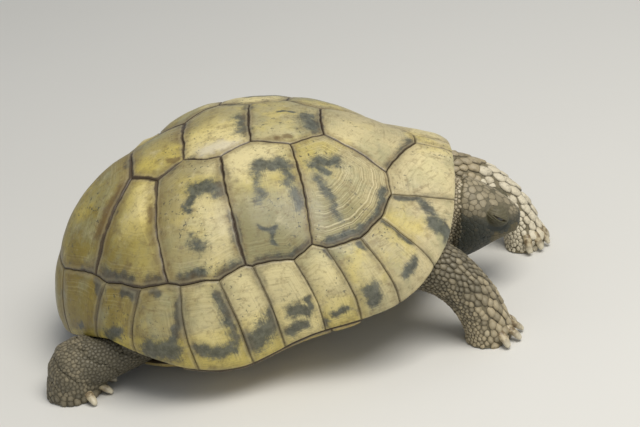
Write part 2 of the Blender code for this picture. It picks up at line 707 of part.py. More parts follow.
def centre_on_floor():
    """Slide the whole body so that its box is centred over the origin."""
    bpy.context.view_layer.update()
    graph = bpy.context.evaluated_depsgraph_get()
    corners = []
    for obj in parts.objects:
        if obj.type == "MESH":
            solid = obj.evaluated_get(graph)
            corners += [solid.matrix_world @ vert.co for vert in solid.data.vertices]
    low = [min(c[axis] for c in corners) for axis in range(2)]
    high = [max(c[axis] for c in corners) for axis in range(2)]
    frames["body"].location.x = -(low[0] + high[0]) / 2.0
    frames["body"].location.y = -(low[1] + high[1]) / 2.0


clear_scene()
parts = new_collection("tortoise")
cutters = new_collection("cutters")
frames = {}
frames["body"] = new_frame("body_frame")
frames["shell"] = new_frame("shell_frame", frames["body"])
stand_shell()

make_carapace()
make_plastron()
make_trunk()
shell_tool = make_shell_cutter()
floor_tool = make_floor_cutter()
make_neck(shell_tool)
make_head()
make_leg("leg_front_right", FORE_RIGHT, CLAWS_FORE_RIGHT, None, shell_tool, floor_tool)
make_leg("leg_front_left", FORE_LEFT, CLAWS_FORE_LEFT, None, shell_tool, floor_tool)
make_leg("leg_hind_right", HIND_RIGHT, CLAWS_HIND_RIGHT, SPUR_RIGHT, shell_tool, floor_tool)
make_leg("leg_hind_left", HIND_LEFT, CLAWS_HIND_LEFT, SPUR_LEFT, shell_tool, floor_tool)
make_tail(shell_tool)
centre_on_floor()
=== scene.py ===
"""Looks of the tortoise: horn plates, one skin with its scales, eyes, claws, floor, light and camera.

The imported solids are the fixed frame. Lengths are in millimetres in the floor's frame of the body and in
the shell's own frame, and MM turns them into metres.
"""
import json
import logging
import math
import random
from contextlib import contextmanager
from dataclasses import dataclass, field
from enum import Enum
from typing import Callable, Iterator, Sequence

import bpy
import numpy as np
from mathutils import Matrix, Vector
from mathutils.bvhtree import BVHTree
from mathutils.kdtree import KDTree

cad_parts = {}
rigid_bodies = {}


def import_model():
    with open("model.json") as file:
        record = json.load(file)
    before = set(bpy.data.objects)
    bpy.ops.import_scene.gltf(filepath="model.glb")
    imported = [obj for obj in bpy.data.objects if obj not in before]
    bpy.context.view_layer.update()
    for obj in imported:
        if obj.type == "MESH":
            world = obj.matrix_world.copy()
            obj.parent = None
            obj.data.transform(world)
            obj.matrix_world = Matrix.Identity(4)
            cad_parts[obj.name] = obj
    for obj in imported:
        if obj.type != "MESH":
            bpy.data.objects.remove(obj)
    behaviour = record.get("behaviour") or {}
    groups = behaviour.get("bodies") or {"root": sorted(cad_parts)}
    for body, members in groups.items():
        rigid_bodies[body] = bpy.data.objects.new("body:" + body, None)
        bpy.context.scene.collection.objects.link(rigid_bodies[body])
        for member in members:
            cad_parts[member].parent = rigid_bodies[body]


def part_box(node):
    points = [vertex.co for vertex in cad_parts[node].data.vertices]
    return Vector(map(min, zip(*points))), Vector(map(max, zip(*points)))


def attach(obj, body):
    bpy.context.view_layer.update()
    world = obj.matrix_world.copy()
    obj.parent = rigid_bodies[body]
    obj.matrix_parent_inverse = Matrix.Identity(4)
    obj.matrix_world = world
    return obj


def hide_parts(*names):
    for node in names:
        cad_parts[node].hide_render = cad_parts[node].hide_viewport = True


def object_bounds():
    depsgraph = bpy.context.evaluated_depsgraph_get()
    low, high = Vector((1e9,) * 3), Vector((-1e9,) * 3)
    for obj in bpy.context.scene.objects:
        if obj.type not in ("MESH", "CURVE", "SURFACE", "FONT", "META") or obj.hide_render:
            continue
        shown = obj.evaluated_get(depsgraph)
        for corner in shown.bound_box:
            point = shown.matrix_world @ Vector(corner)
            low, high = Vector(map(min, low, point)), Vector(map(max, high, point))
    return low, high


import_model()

MM = 0.001
SIDES = (1.0, -1.0)
CAD_BOX = [list(corner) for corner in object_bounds()]
LOG = logging.getLogger("tortoise")

Array = np.ndarray
Corners = list[tuple[float, float]]
Colour = tuple[float, float, float]
Material = bpy.types.Material
Piece = bpy.types.Object
Socket = bpy.types.NodeSocket


# ---- small tools ----------------------------------------------------------------------------------
def ease(value: Array) -> Array:
    """Ease values from 0 to 1."""
    t = np.clip(value, 0.0, 1.0)
    return t * t * (3.0 - 2.0 * t)


def signed_power(value: Array, power: Array) -> Array:
    """Raise numbers to a power and keep their signs."""
    return np.sign(value) * np.abs(value) ** power


def unit(vectors: Array) -> Array:
    """Scale vectors to length one."""
    return vectors / np.maximum(np.linalg.norm(vectors, axis=-1, keepdims=True), 1e-12)


def norms(vectors: Array) -> Array:
    """Return the length of each row's vector."""
    return np.linalg.norm(vectors, axis=1)


def cosine_ring(values: Sequence[float]) -> Callable[[Array], Array]:
    """Make a smooth even function of the angle through values spaced evenly from 0 to 180 degrees.

    Args:
        values: the values, first at 0 degrees and last at 180.

    Returns:
        The function, of an angle in radians.
    """
    order = np.arange(len(values))
    table = np.cos(np.outer(order, order) * math.pi / order[-1])
    weights = np.linalg.solve(table, np.array(values, float))
    return lambda angle: np.cos(np.multiply.outer(angle, order)) @ weights


def disc(radius: float, degrees: float) -> tuple[float, float]:
    """Return a place on the shell's disc from its radius and angle."""
    angle = math.radians(degrees)
    return radius * math.cos(angle), radius * math.sin(angle)


def flipped(places: Corners) -> Corners:
    """Mirror places to the other side and keep their order of turning."""
    return [(x, -y) for x, y in reversed(places)]


def deselect_all() -> None:
    """Leave nothing selected and nothing active."""
    for other in bpy.context.selected_objects:
        other.select_set(False)
    bpy.context.view_layer.objects.active = None


def choose(obj: Piece) -> None:
    """Select one object alone and make it active."""
    deselect_all()
    obj.select_set(True)
    bpy.context.view_layer.objects.active = obj


@contextmanager
def editing(obj: Piece) -> Iterator[None]:
    """Open one object in edit mode with all of it selected, and leave edit mode in the end."""
    choose(obj)
    bpy.ops.object.mode_set(mode="EDIT")
    bpy.ops.mesh.select_all(action="SELECT")
    yield
    bpy.ops.object.mode_set(mode="OBJECT")


def modify(obj: Piece, kind: str, **settings: object) -> None:
    """Add a modifier to an object and apply it.

    Args:
        obj: the object.
        kind: the modifier's type.
        settings: the modifier's properties by name.
    """
    choose(obj)
    bpy.ops.object.modifier_add(type=kind)
    modifier = obj.modifiers[-1]
    for name, value in settings.items():
        setattr(modifier, name, value)
    bpy.ops.object.modifier_apply(modifier=modifier.name)


def read(items: bpy.types.bpy_prop_collection, name: str, width: int, kind: type = float) -> Array:
    """Read one property of many items.

    Args:
        items: the items, such as a mesh's vertices.
        name: the property's name.
        width: how many numbers each item has.
        kind: the numbers' type.

    Returns:
        The numbers, one row for each item.
    """
    values = np.empty(len(items) * width, kind)
    items.foreach_get(name, values)
    return values.reshape(-1, width)


def coordinates(obj: Piece) -> Array:
    """Return an object's points in metres."""
    return read(obj.data.vertices, "co", 3)


def directions(obj: Piece) -> Array:
    """Return the normals at an object's points."""
    return read(obj.data.vertex_normals, "vector", 3)


def store_coordinates(obj: Piece, points: Array) -> None:
    """Move an object's points."""
    obj.data.vertices.foreach_set("co", points.ravel())
    obj.data.update()


def mesh_object(name: str, points: Array, faces: list) -> Piece:
    """Make an object in the scene from points in metres and faces.

    Args:
        name: the piece's name.
        points: its vertices, one row each.
        faces: tuples of vertex numbers.

    Returns:
        The new object.
    """
    mesh = bpy.data.meshes.new(name)
    mesh.from_pydata(inside_box(points), [], faces)
    mesh.update()
    made = bpy.data.objects.new(name, mesh)
    bpy.context.scene.collection.objects.link(made)
    return made


def inside_box(points: Array) -> Array:
    """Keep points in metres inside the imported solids' own box."""
    return np.clip(points, CAD_BOX[0], CAD_BOX[1])


def set_attribute(obj: Piece, name: str, values: Array) -> None:
    """Store one number for each vertex, for the materials to read."""
    layer = obj.data.attributes.new(name, "FLOAT", "POINT")
    layer.data.foreach_set("value", np.ascontiguousarray(values, dtype=np.float32))


def shade_smooth(obj: Piece) -> None:
    """Shade every face smooth."""
    obj.data.polygons.foreach_set("use_smooth", np.ones(len(obj.data.polygons), bool))


# ---- the shell's form -----------------------------------------------------------------------------
@dataclass(frozen=True)
class ShellForm:
    """The shell's surface in its own frame, where z = 0 is the flat of the plastron."""

    crown_height: float = 98.7
    pitch: float = math.radians(7.5)
    pivot_x: float = 85.0
    clearance: float = 2.5
    tuck_under: float = 0.16
    flat_radius: float = 50.0
    lobe_edge_height: float = 1.5
    bridge_angles: tuple[float, float] = (58.0, 122.0)
    bridge_softness: float = 9.0
    rim_reach: tuple[float, ...] = (109.3, 110.1, 97.7, 83.6, 97.7, 101.6, 110.7)
    rim_height: tuple[float, ...] = (51.8, 29.6, 26.9, 30.4, 29.6, 26.5, 15.9)
    rim_flare: tuple[float, ...] = (17.7, 17.5, 4.0, 0.0, 3.9, 7.1, 4.8)
    dome_fullness: tuple[float, ...] = (1.63, 1.94, 2.05, 2.43, 2.18, 2.13, 2.43)
    lobe_reach: tuple[float, ...] = (95.0, 84.0, 70.0, 62.0, 70.0, 84.0, 84.0)

    def point(self, radius: Array, angle: Array) -> Array:
        """Return carapace points; radius 0 is the crown, 1 the rim, and more is tucked under it.

        Args:
            radius: how far out the points are.
            angle: their angles from the front.

        Returns:
            The points in the shell's frame.
        """
        turn = radius * math.pi / 2.0
        power = 2.0 / cosine_ring(self.dome_fullness)(angle)
        out = signed_power(np.sin(turn), power)
        up = signed_power(np.cos(turn), power)
        flare = cosine_ring(self.rim_flare)(angle)
        reach = (cosine_ring(self.rim_reach)(angle) - flare) * out
        reach = reach + flare * ease((radius - 0.65) / 0.35)
        rim = cosine_ring(self.rim_height)(angle)
        return np.stack([reach * np.cos(angle), reach * np.sin(angle),
                         rim + (self.crown_height - rim) * up], -1)

    def surface_normal(self, radius: Array, angle: Array) -> Array:
        """Return the carapace's outward normals."""
        step = 0.004
        radius = np.maximum(radius, 0.02)
        along = self.point(radius + step, angle) - self.point(radius - step, angle)
        across = self.point(radius, angle + step) - self.point(radius, angle - step)
        return unit(np.cross(along, across))

    def under_edge(self, angle: Array) -> Array:
        """Return the radius at which the marginals end."""
        return 1.0 + self.tuck_under * np.clip(1.6 * np.sin(angle) ** 2 - 0.6, 0.0, 1.0)

    def bridge_weight(self, angle: Array) -> Array:
        """Return 1 along the bridge, 0 on the lobes, eased between."""
        degrees = np.degrees(np.arccos(np.cos(angle)))
        front = ease((degrees - self.bridge_angles[0]) / self.bridge_softness + 0.5)
        rear = ease((self.bridge_angles[1] - degrees) / self.bridge_softness + 0.5)
        return front * rear

    def mitre(self, angle: Array) -> Array:
        """Return the direction that halves the corner between marginals and plastron."""
        return unit(self.surface_normal(self.under_edge(angle), angle) + np.array([0.0, 0.0, -0.9]))

    def carapace(self, places: Array) -> tuple[Array, Array]:
        """Return points and outward directions at places on the carapace's disc.

        Args:
            places: disc places, two numbers in the last axis.

        Returns:
            The points in the shell's frame, and the unit directions out of the shell there.
        """
        radius, angle = np.hypot(places[..., 0], places[..., 1]), np.arctan2(places[..., 1], places[..., 0])
        past = (radius - 1.0) / np.maximum(self.under_edge(angle) - 1.0, 0.01)
        weight = (self.bridge_weight(angle) * ease(past))[..., None]
        normal = self.surface_normal(radius, angle)
        return self.point(radius, angle), unit(normal + (self.mitre(angle) - normal) * weight)

    def plastron_edge(self, angle: Array) -> tuple[Array, Array]:
        """Return the plastron edge's distance from the middle, and its height."""
        bridge = self.point(self.under_edge(angle) + 0.005, angle)
        weight = self.bridge_weight(angle)
        reach = cosine_ring(self.lobe_reach)(angle) * (1.0 - weight)
        reach = reach + np.hypot(bridge[..., 0], bridge[..., 1]) * weight
        return reach, self.lobe_edge_height * (1.0 - weight) + bridge[..., 2] * weight

    def plastron(self, places: Array) -> tuple[Array, Array]:
        """Return points and outward directions on the plastron.

        Args:
            places: places in plan, in millimetres, two numbers in the last axis.

        Returns:
            The points in the shell's frame, and the unit directions out of the shell there.
        """
        angle = np.arctan2(places[..., 1], places[..., 0])
        edge, height = self.plastron_edge(angle)
        reach = np.minimum(np.hypot(places[..., 0], places[..., 1]), edge)
        rise = np.maximum(reach - self.flat_radius, 0.0) / (edge - self.flat_radius)
        points = np.stack([reach * np.cos(angle), reach * np.sin(angle), height * rise * rise], -1)
        weight = (self.bridge_weight(angle) * ease((reach / edge - 0.7) / 0.3))[..., None]
        down = np.zeros_like(points)
        down[..., 2] = -1.0
        return points, unit(down + (self.mitre(angle) - down) * weight)

    def place_above(self, point: Array) -> tuple[float, float]:
        """Return the disc place that lies above a point of the plan.

        Args:
            point: a point of the plan, in millimetres.

        Returns:
            The place.
        """
        reach, angle = math.hypot(point[0], point[1]), math.atan2(point[1], point[0])
        low, high = 0.0, 1.0
        for _ in range(24):
            radius = (low + high) / 2.0
            found = self.point(np.array(radius), np.array(angle))
            if math.hypot(found[0], found[1]) < reach:
                low = radius
            else:
                high = radius
        return disc(low, math.degrees(angle))

    def nape_x(self) -> float:
        """Return how far ahead the rim over the nape is, in the floor's frame before centring."""
        rim = self.point(np.array(1.0), np.array(0.0))
        return rim[0] * math.cos(self.pitch) - rim[2] * math.sin(self.pitch)

    def shift(self) -> float:
        """Return how far the body was slid along X to centre it, read from the frame."""
        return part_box("nuchal")[1].x / MM - self.nape_x()

    def to_floor(self, points: Array) -> Array:
        """Turn points of the shell's frame into metres of the part's frame."""
        sine, cosine = math.sin(self.pitch), math.cos(self.pitch)
        x = points[..., 0] * cosine - points[..., 2] * sine + self.shift()
        z = points[..., 0] * sine + points[..., 2] * cosine + self.pivot_x * sine + self.clearance
        return np.stack([x, points[..., 1], z], -1) * MM


# ---- finishes -------------------------------------------------------------------------------------
def linear(colour: Colour) -> tuple[float, float, float, float]:
    """Turn a colour given as 0 to 255 display values into the renderer's linear values."""
    out = []
    for value in colour:
        v = value / 255.0
        out.append(v / 12.92 if v <= 0.04045 else ((v + 0.055) / 1.055) ** 2.4)
    return out[0], out[1], out[2], 1.0


class Paint:
    """Lays out the nodes of one material."""

    def __init__(self, name: str) -> None:
        """Start a material with its Principled shader."""
        self.material = bpy.data.materials.new(name)
        self.material.use_nodes = True
        self.tree = self.material.node_tree
        self.shader = self.tree.nodes["Principled BSDF"]
        self.place = self.tree.nodes.new("ShaderNodeTexCoord").outputs["Object"]

    def plug(self, socket: Socket, value: object) -> None:
        """Link a socket to another, or set it to a constant."""
        if isinstance(value, Socket):
            self.tree.links.new(value, socket)
        elif value is not None:
            socket.default_value = value

    def attribute(self, name: str) -> Socket:
        """Read a number stored on the vertices."""
        node = self.tree.nodes.new("ShaderNodeAttribute")
        node.attribute_name = name
        return node.outputs["Fac"]

    def math(self, operation: str, first: object, second: object = None,
             third: object = None) -> Socket:
        """Add a Math node.

        Args:
            operation: the node's operation.
            first, second, third: sockets or numbers.

        Returns:
            The result's socket.
        """
        node = self.tree.nodes.new("ShaderNodeMath")
        node.operation = operation
        for socket, value in zip(node.inputs, (first, second, third)):
            self.plug(socket, value)
        return node.outputs[0]

    def noise(self, scale: float, detail: float = 3.0, rough: float = 0.55, vector: object = None,
              line: object = None) -> Socket:
        """Add a Noise texture.

        Args:
            scale: its scale, in cycles for each metre or for each unit of the line.
            detail: how many finer layers it has.
            rough: how strong those layers are.
            vector: where it is read; the object's own coordinates unless given.
            line: a number to read it along instead, in one dimension.

        Returns:
            The socket of its value, about 0.5 on average.
        """
        node = self.tree.nodes.new("ShaderNodeTexNoise")
        if line is not None:
            node.noise_dimensions = "1D"
            self.plug(node.inputs["W"], line)
        else:
            self.plug(node.inputs["Vector"], vector or self.place)
        node.inputs["Scale"].default_value = scale
        node.inputs["Detail"].default_value = detail
        node.inputs["Roughness"].default_value = rough
        return node.outputs[0]

    def ragged(self, value: object, amount: float, scale: float, detail: float = 3.0,
               rough: float = 0.55) -> Socket:
        """Add a noise to a value, as often below it as above.

        Args:
            value: the socket that is roughened.
            amount: how strong the noise is.
            scale: its scale, in cycles for each metre.
            detail: how many finer layers it has.
            rough: how strong those layers are.

        Returns:
            The result's socket.
        """
        centred = self.math("SUBTRACT", self.noise(scale, detail, rough), 0.5)
        return self.math("MULTIPLY_ADD", centred, amount, value)

    def times(self, first: object, second: object) -> Socket:
        """Multiply two values."""
        return self.math("MULTIPLY", first, second)

    def cells(self, scale: float) -> Socket:
        """Add a Voronoi texture and return its distance."""
        node = self.tree.nodes.new("ShaderNodeTexVoronoi")
        self.plug(node.inputs["Vector"], self.place)
        node.inputs["Scale"].default_value = scale
        return node.outputs["Distance"]

    def stretch(self, scale: Sequence[float]) -> Socket:
        """Return the object's coordinates scaled along each axis."""
        node = self.tree.nodes.new("ShaderNodeMapping")
        self.plug(node.inputs["Vector"], self.place)
        node.inputs["Scale"].default_value = scale
        return node.outputs[0]

    def ease(self, value: object, low: float, high: float, bottom: float = 0.0,
             top: float = 1.0) -> Socket:
        """Map a value smoothly from low..high to bottom..top.

        Args:
            value: the socket that is mapped.
            low: where the result is bottom.
            high: where the result is top.
            bottom: the result at low.
            top: the result at high.

        Returns:
            The result's socket.
        """
        node = self.tree.nodes.new("ShaderNodeMapRange")
        node.interpolation_type = "SMOOTHSTEP"
        for socket, number in zip(node.inputs, (value, low, high, bottom, top)):
            self.plug(socket, number)
        return node.outputs[0]

    def mix(self, factor: object, first: object, second: object) -> Socket:
        """Mix two colours, each a socket or 0 to 255 display values.

        Args:
            factor: how much of the second shows.
            first: the colour at 0.
            second: the colour at 1.

        Returns:
            The mixed colour's socket.
        """
        node = self.tree.nodes.new("ShaderNodeMix")
        node.data_type = "RGBA"
        colours = [socket for socket in node.inputs if socket.type == "RGBA"]
        for socket, value in zip((node.inputs["Factor"], *colours), (factor, first, second)):
            self.plug(socket, linear(value) if isinstance(value, tuple) else value)
        return next(socket for socket in node.outputs if socket.type == "RGBA")

    def axis(self, name: str) -> Socket:
        """Return one of the object's coordinates, X, Y or Z."""
        node = self.tree.nodes.new("ShaderNodeSeparateXYZ")
        self.plug(node.inputs[0], self.place)
        return node.outputs[name]

    def bump(self, height: object, strength: float, distance: float,
             normal: object = None) -> Socket:
        """Add a Bump node, distance in millimetres, and return its normal."""
        node = self.tree.nodes.new("ShaderNodeBump")
        node.inputs["Strength"].default_value = strength
        node.inputs["Distance"].default_value = distance * MM
        self.plug(node.inputs["Height"], height)
        self.plug(node.inputs["Normal"], normal)
        return node.outputs[0]

    def finish(self, colour: object, rough: object, normal: object) -> Material:
        """Plug colour, roughness and normal into the shader and return the material."""
        self.plug(self.shader.inputs["Base Color"], colour)
        self.plug(self.shader.inputs["Roughness"], rough)
        self.plug(self.shader.inputs["Normal"], normal)
        return self.material


@dataclass(frozen=True)
class HornFinish:
    """Worn horn of a shell plate: growth rings, slate blotches, brown stain, pale and dark seams, with
    painted sunlight, sheen and shade.
    """

    name: str
    front: Colour = (203, 189, 146)
    middle: Colour = (172, 162, 118)
    rear: Colour = (140, 122, 42)
    golden: Colour = (208, 189, 90)
    green: Colour = (148, 148, 112)
    slate: Colour = (50, 56, 55)
    slate_pale: Colour = (88, 92, 84)
    olive_and_shade: Colour = (128, 124, 88)
    # olive-grey: partly the horn's own tint, partly painted shade
    stain: Colour = (104, 82, 48)
    sunlit: Colour = (240, 225, 170)
    scuffed: Colour = (214, 206, 188)
    groove: Colour = (66, 52, 38)
    pale: Colour = (222, 210, 168)
    ring_count: float = 44.0
    seam_share: float = 0.90

    def build(self) -> Material:
        """Make the material."""
        p = Paint(self.name)
        fine, grain = p.noise(420.0, 5.0, 0.62), p.noise(1500.0, 3.0, 0.6)
        # paler at the front, darker and browner towards the rear: partly the horn's own colour, partly
        # painted shade on the rear, which faces away from the key light
        place = p.ragged(p.axis("X"), 0.11, 24.0, 4.0, 0.6)
        base = p.mix(p.ease(place, -0.115, -0.015), self.rear, self.middle)
        base = p.mix(p.ease(place, 0.0, 0.085), base, self.front)
        base = p.mix(p.ease(p.noise(46.0, 5.0, 0.65), 0.46, 0.66, 0.0, 0.62), base, self.green)
        base = p.mix(p.ease(p.noise(31.0, 5.0, 0.62), 0.50, 0.70, 0.0, 0.55), base, self.golden)
        # golden horn that is also painted sheen, painted sunlight, and an olive tint that is partly painted
        # shade, where the strokes lie
        for kind, colour, share in ((Mark.GOLD, self.golden, 0.75), (Mark.LIGHT, self.sunlit, 0.62),
                                    (Mark.SHADE, self.olive_and_shade, 0.66)):
            soft = p.ragged(p.attribute(kind.value), 0.8, 60.0, 4.0, 0.6)
            base = p.mix(p.ease(soft, 0.1, 0.9, 0.0, share), base, colour)
        streak = p.noise(1.0, 4.0, 0.62, vector=p.stretch((95.0, 95.0, 900.0)))
        base = p.mix(p.ease(streak, 0.55, 0.72, 0.0, 0.34), base, self.stain)
        rings, show = self.rings(p), p.attribute("ringing")
        base = p.mix(p.times(p.ease(rings, 0.53, 0.66), p.times(show, 0.42)), base, self.stain)
        base = p.mix(p.times(p.ease(rings, 0.47, 0.34), p.times(show, 0.40)), base, self.pale)
        base = p.mix(p.ease(fine, 0.52, 0.72, 0.0, 0.42), base, self.stain)
        base = p.mix(p.ease(p.noise(110.0, 6.0, 0.7), 0.52, 0.70, 0.0, 0.42), base, self.stain)
        base = p.mix(p.ease(p.noise(90.0, 6.0, 0.7), 0.53, 0.74, 0.0, 0.40), base, self.pale)
        specks = p.times(p.ease(p.noise(560.0, 2.0), 0.60, 0.69),
                         p.ease(p.noise(34.0, 3.0), 0.46, 0.60, 0.1, 0.75))
        base = self.marks(p, p.mix(specks, base, self.slate), rings)
        height = p.math("MULTIPLY_ADD", p.times(rings, show), 0.9, p.times(fine, 0.6))
        height = p.math("MULTIPLY_ADD", streak, -0.4, height)
        normal = p.bump(grain, 0.3, 0.03, p.bump(height, 0.5, 0.18))
        return p.finish(self.seams(p, base), p.math("MULTIPLY_ADD", fine, 0.26, 0.30), normal)

    def rings(self, p: Paint) -> Socket:
        """Return irregular growth rings, a noise that runs from the areola out to the seams."""
        warp = p.times(p.noise(60.0, 2.0), 1.1)
        line = p.math("MULTIPLY_ADD", p.attribute("growth"), self.ring_count, warp)
        return p.noise(1.0, 3.0, 0.7, line=line)

    def marks(self, p: Paint, base: object, rings: object) -> Socket:
        """Lay the slate blotches, brown stains and pale scuffs over the base colour.

        Args:
            p: the material's painter.
            base: the colour so far.
            rings: the growth rings.

        Returns:
            The colour with its markings.
        """
        ragged = p.ragged(p.times(p.math("SUBTRACT", rings, 0.5), 0.35), 1.9, 230.0, 8.0, 0.78)
        shade = p.mix(p.ease(p.noise(330.0, 5.0, 0.65), 0.35, 0.65), self.slate, self.slate_pale)
        for kind, colour, share in ((Mark.STAIN, self.stain, 0.62), (Mark.SLATE, shade, 0.84),
                                    (Mark.SCUFF, self.scuffed, 0.42)):
            edge = p.math("ADD", p.attribute(kind.value), ragged)
            base = p.mix(p.ease(edge, 0.02, 0.72, 0.0, 0.55 * share), base, colour)
            base = p.mix(p.ease(edge, 0.34, 0.86, 0.0, share), base, colour)
        return base

    def seams(self, p: Paint, base: object) -> Socket:
        """Draw the brown stain, the pale rim and the dark line along each seam, wider at the rear.

        Args:
            p: the material's painter.
            base: the colour so far.

        Returns:
            The colour with its seams.
        """
        width = p.ease(p.axis("X"), -0.09, 0.02, 0.48, 1.0)
        away = p.ragged(p.times(p.attribute("seam"), width), 0.9, 240.0, 4.0, 0.65)
        away = p.ragged(away, 1.5, 38.0, 2.0)
        far, near = p.ragged(away, 7.0, 120.0, 5.0, 0.7), p.ragged(away, 17.0, 66.0, 8.0, 0.76)
        base = p.mix(p.ease(far, 4.2, 0.4, 0.0, 0.56 * self.seam_share), base, self.stain)
        base = p.mix(p.ease(near, 1.8, -1.4, 0.0, 0.80 * self.seam_share), base, self.slate)
        base = p.mix(p.ease(away, 1.6, 0.9, 0.0, 0.14), base, self.pale)
        return p.mix(p.ease(away, 0.85, 0.30, 0.0, self.seam_share), base, self.groove)


# ---- shell plates ---------------------------------------------------------------------------------
class Mark(Enum):
    """What a marking on a plate is; some kinds are painted sunlight, sheen or shade."""

    SLATE = "mark"
    STAIN = "stain"
    SCUFF = "scuff"
    # golden horn; on the tops of the domes it is also painted sheen of the sun
    GOLD = "gold"
    # painted sunlight and sheen on the plates that face the key light
    LIGHT = "light"
    # olive-grey patches low on the costals: partly the horn's own tint, partly painted shade
    SHADE = "shade"


@dataclass(frozen=True)
class Stroke:
    """A marking or painted light along a short path on the carapace, given for the right side as radius and
    degrees.
    """

    path: tuple[tuple[float, float], ...]
    half_width: float
    kind: Mark = Mark.SLATE
    strength: float = 1.0
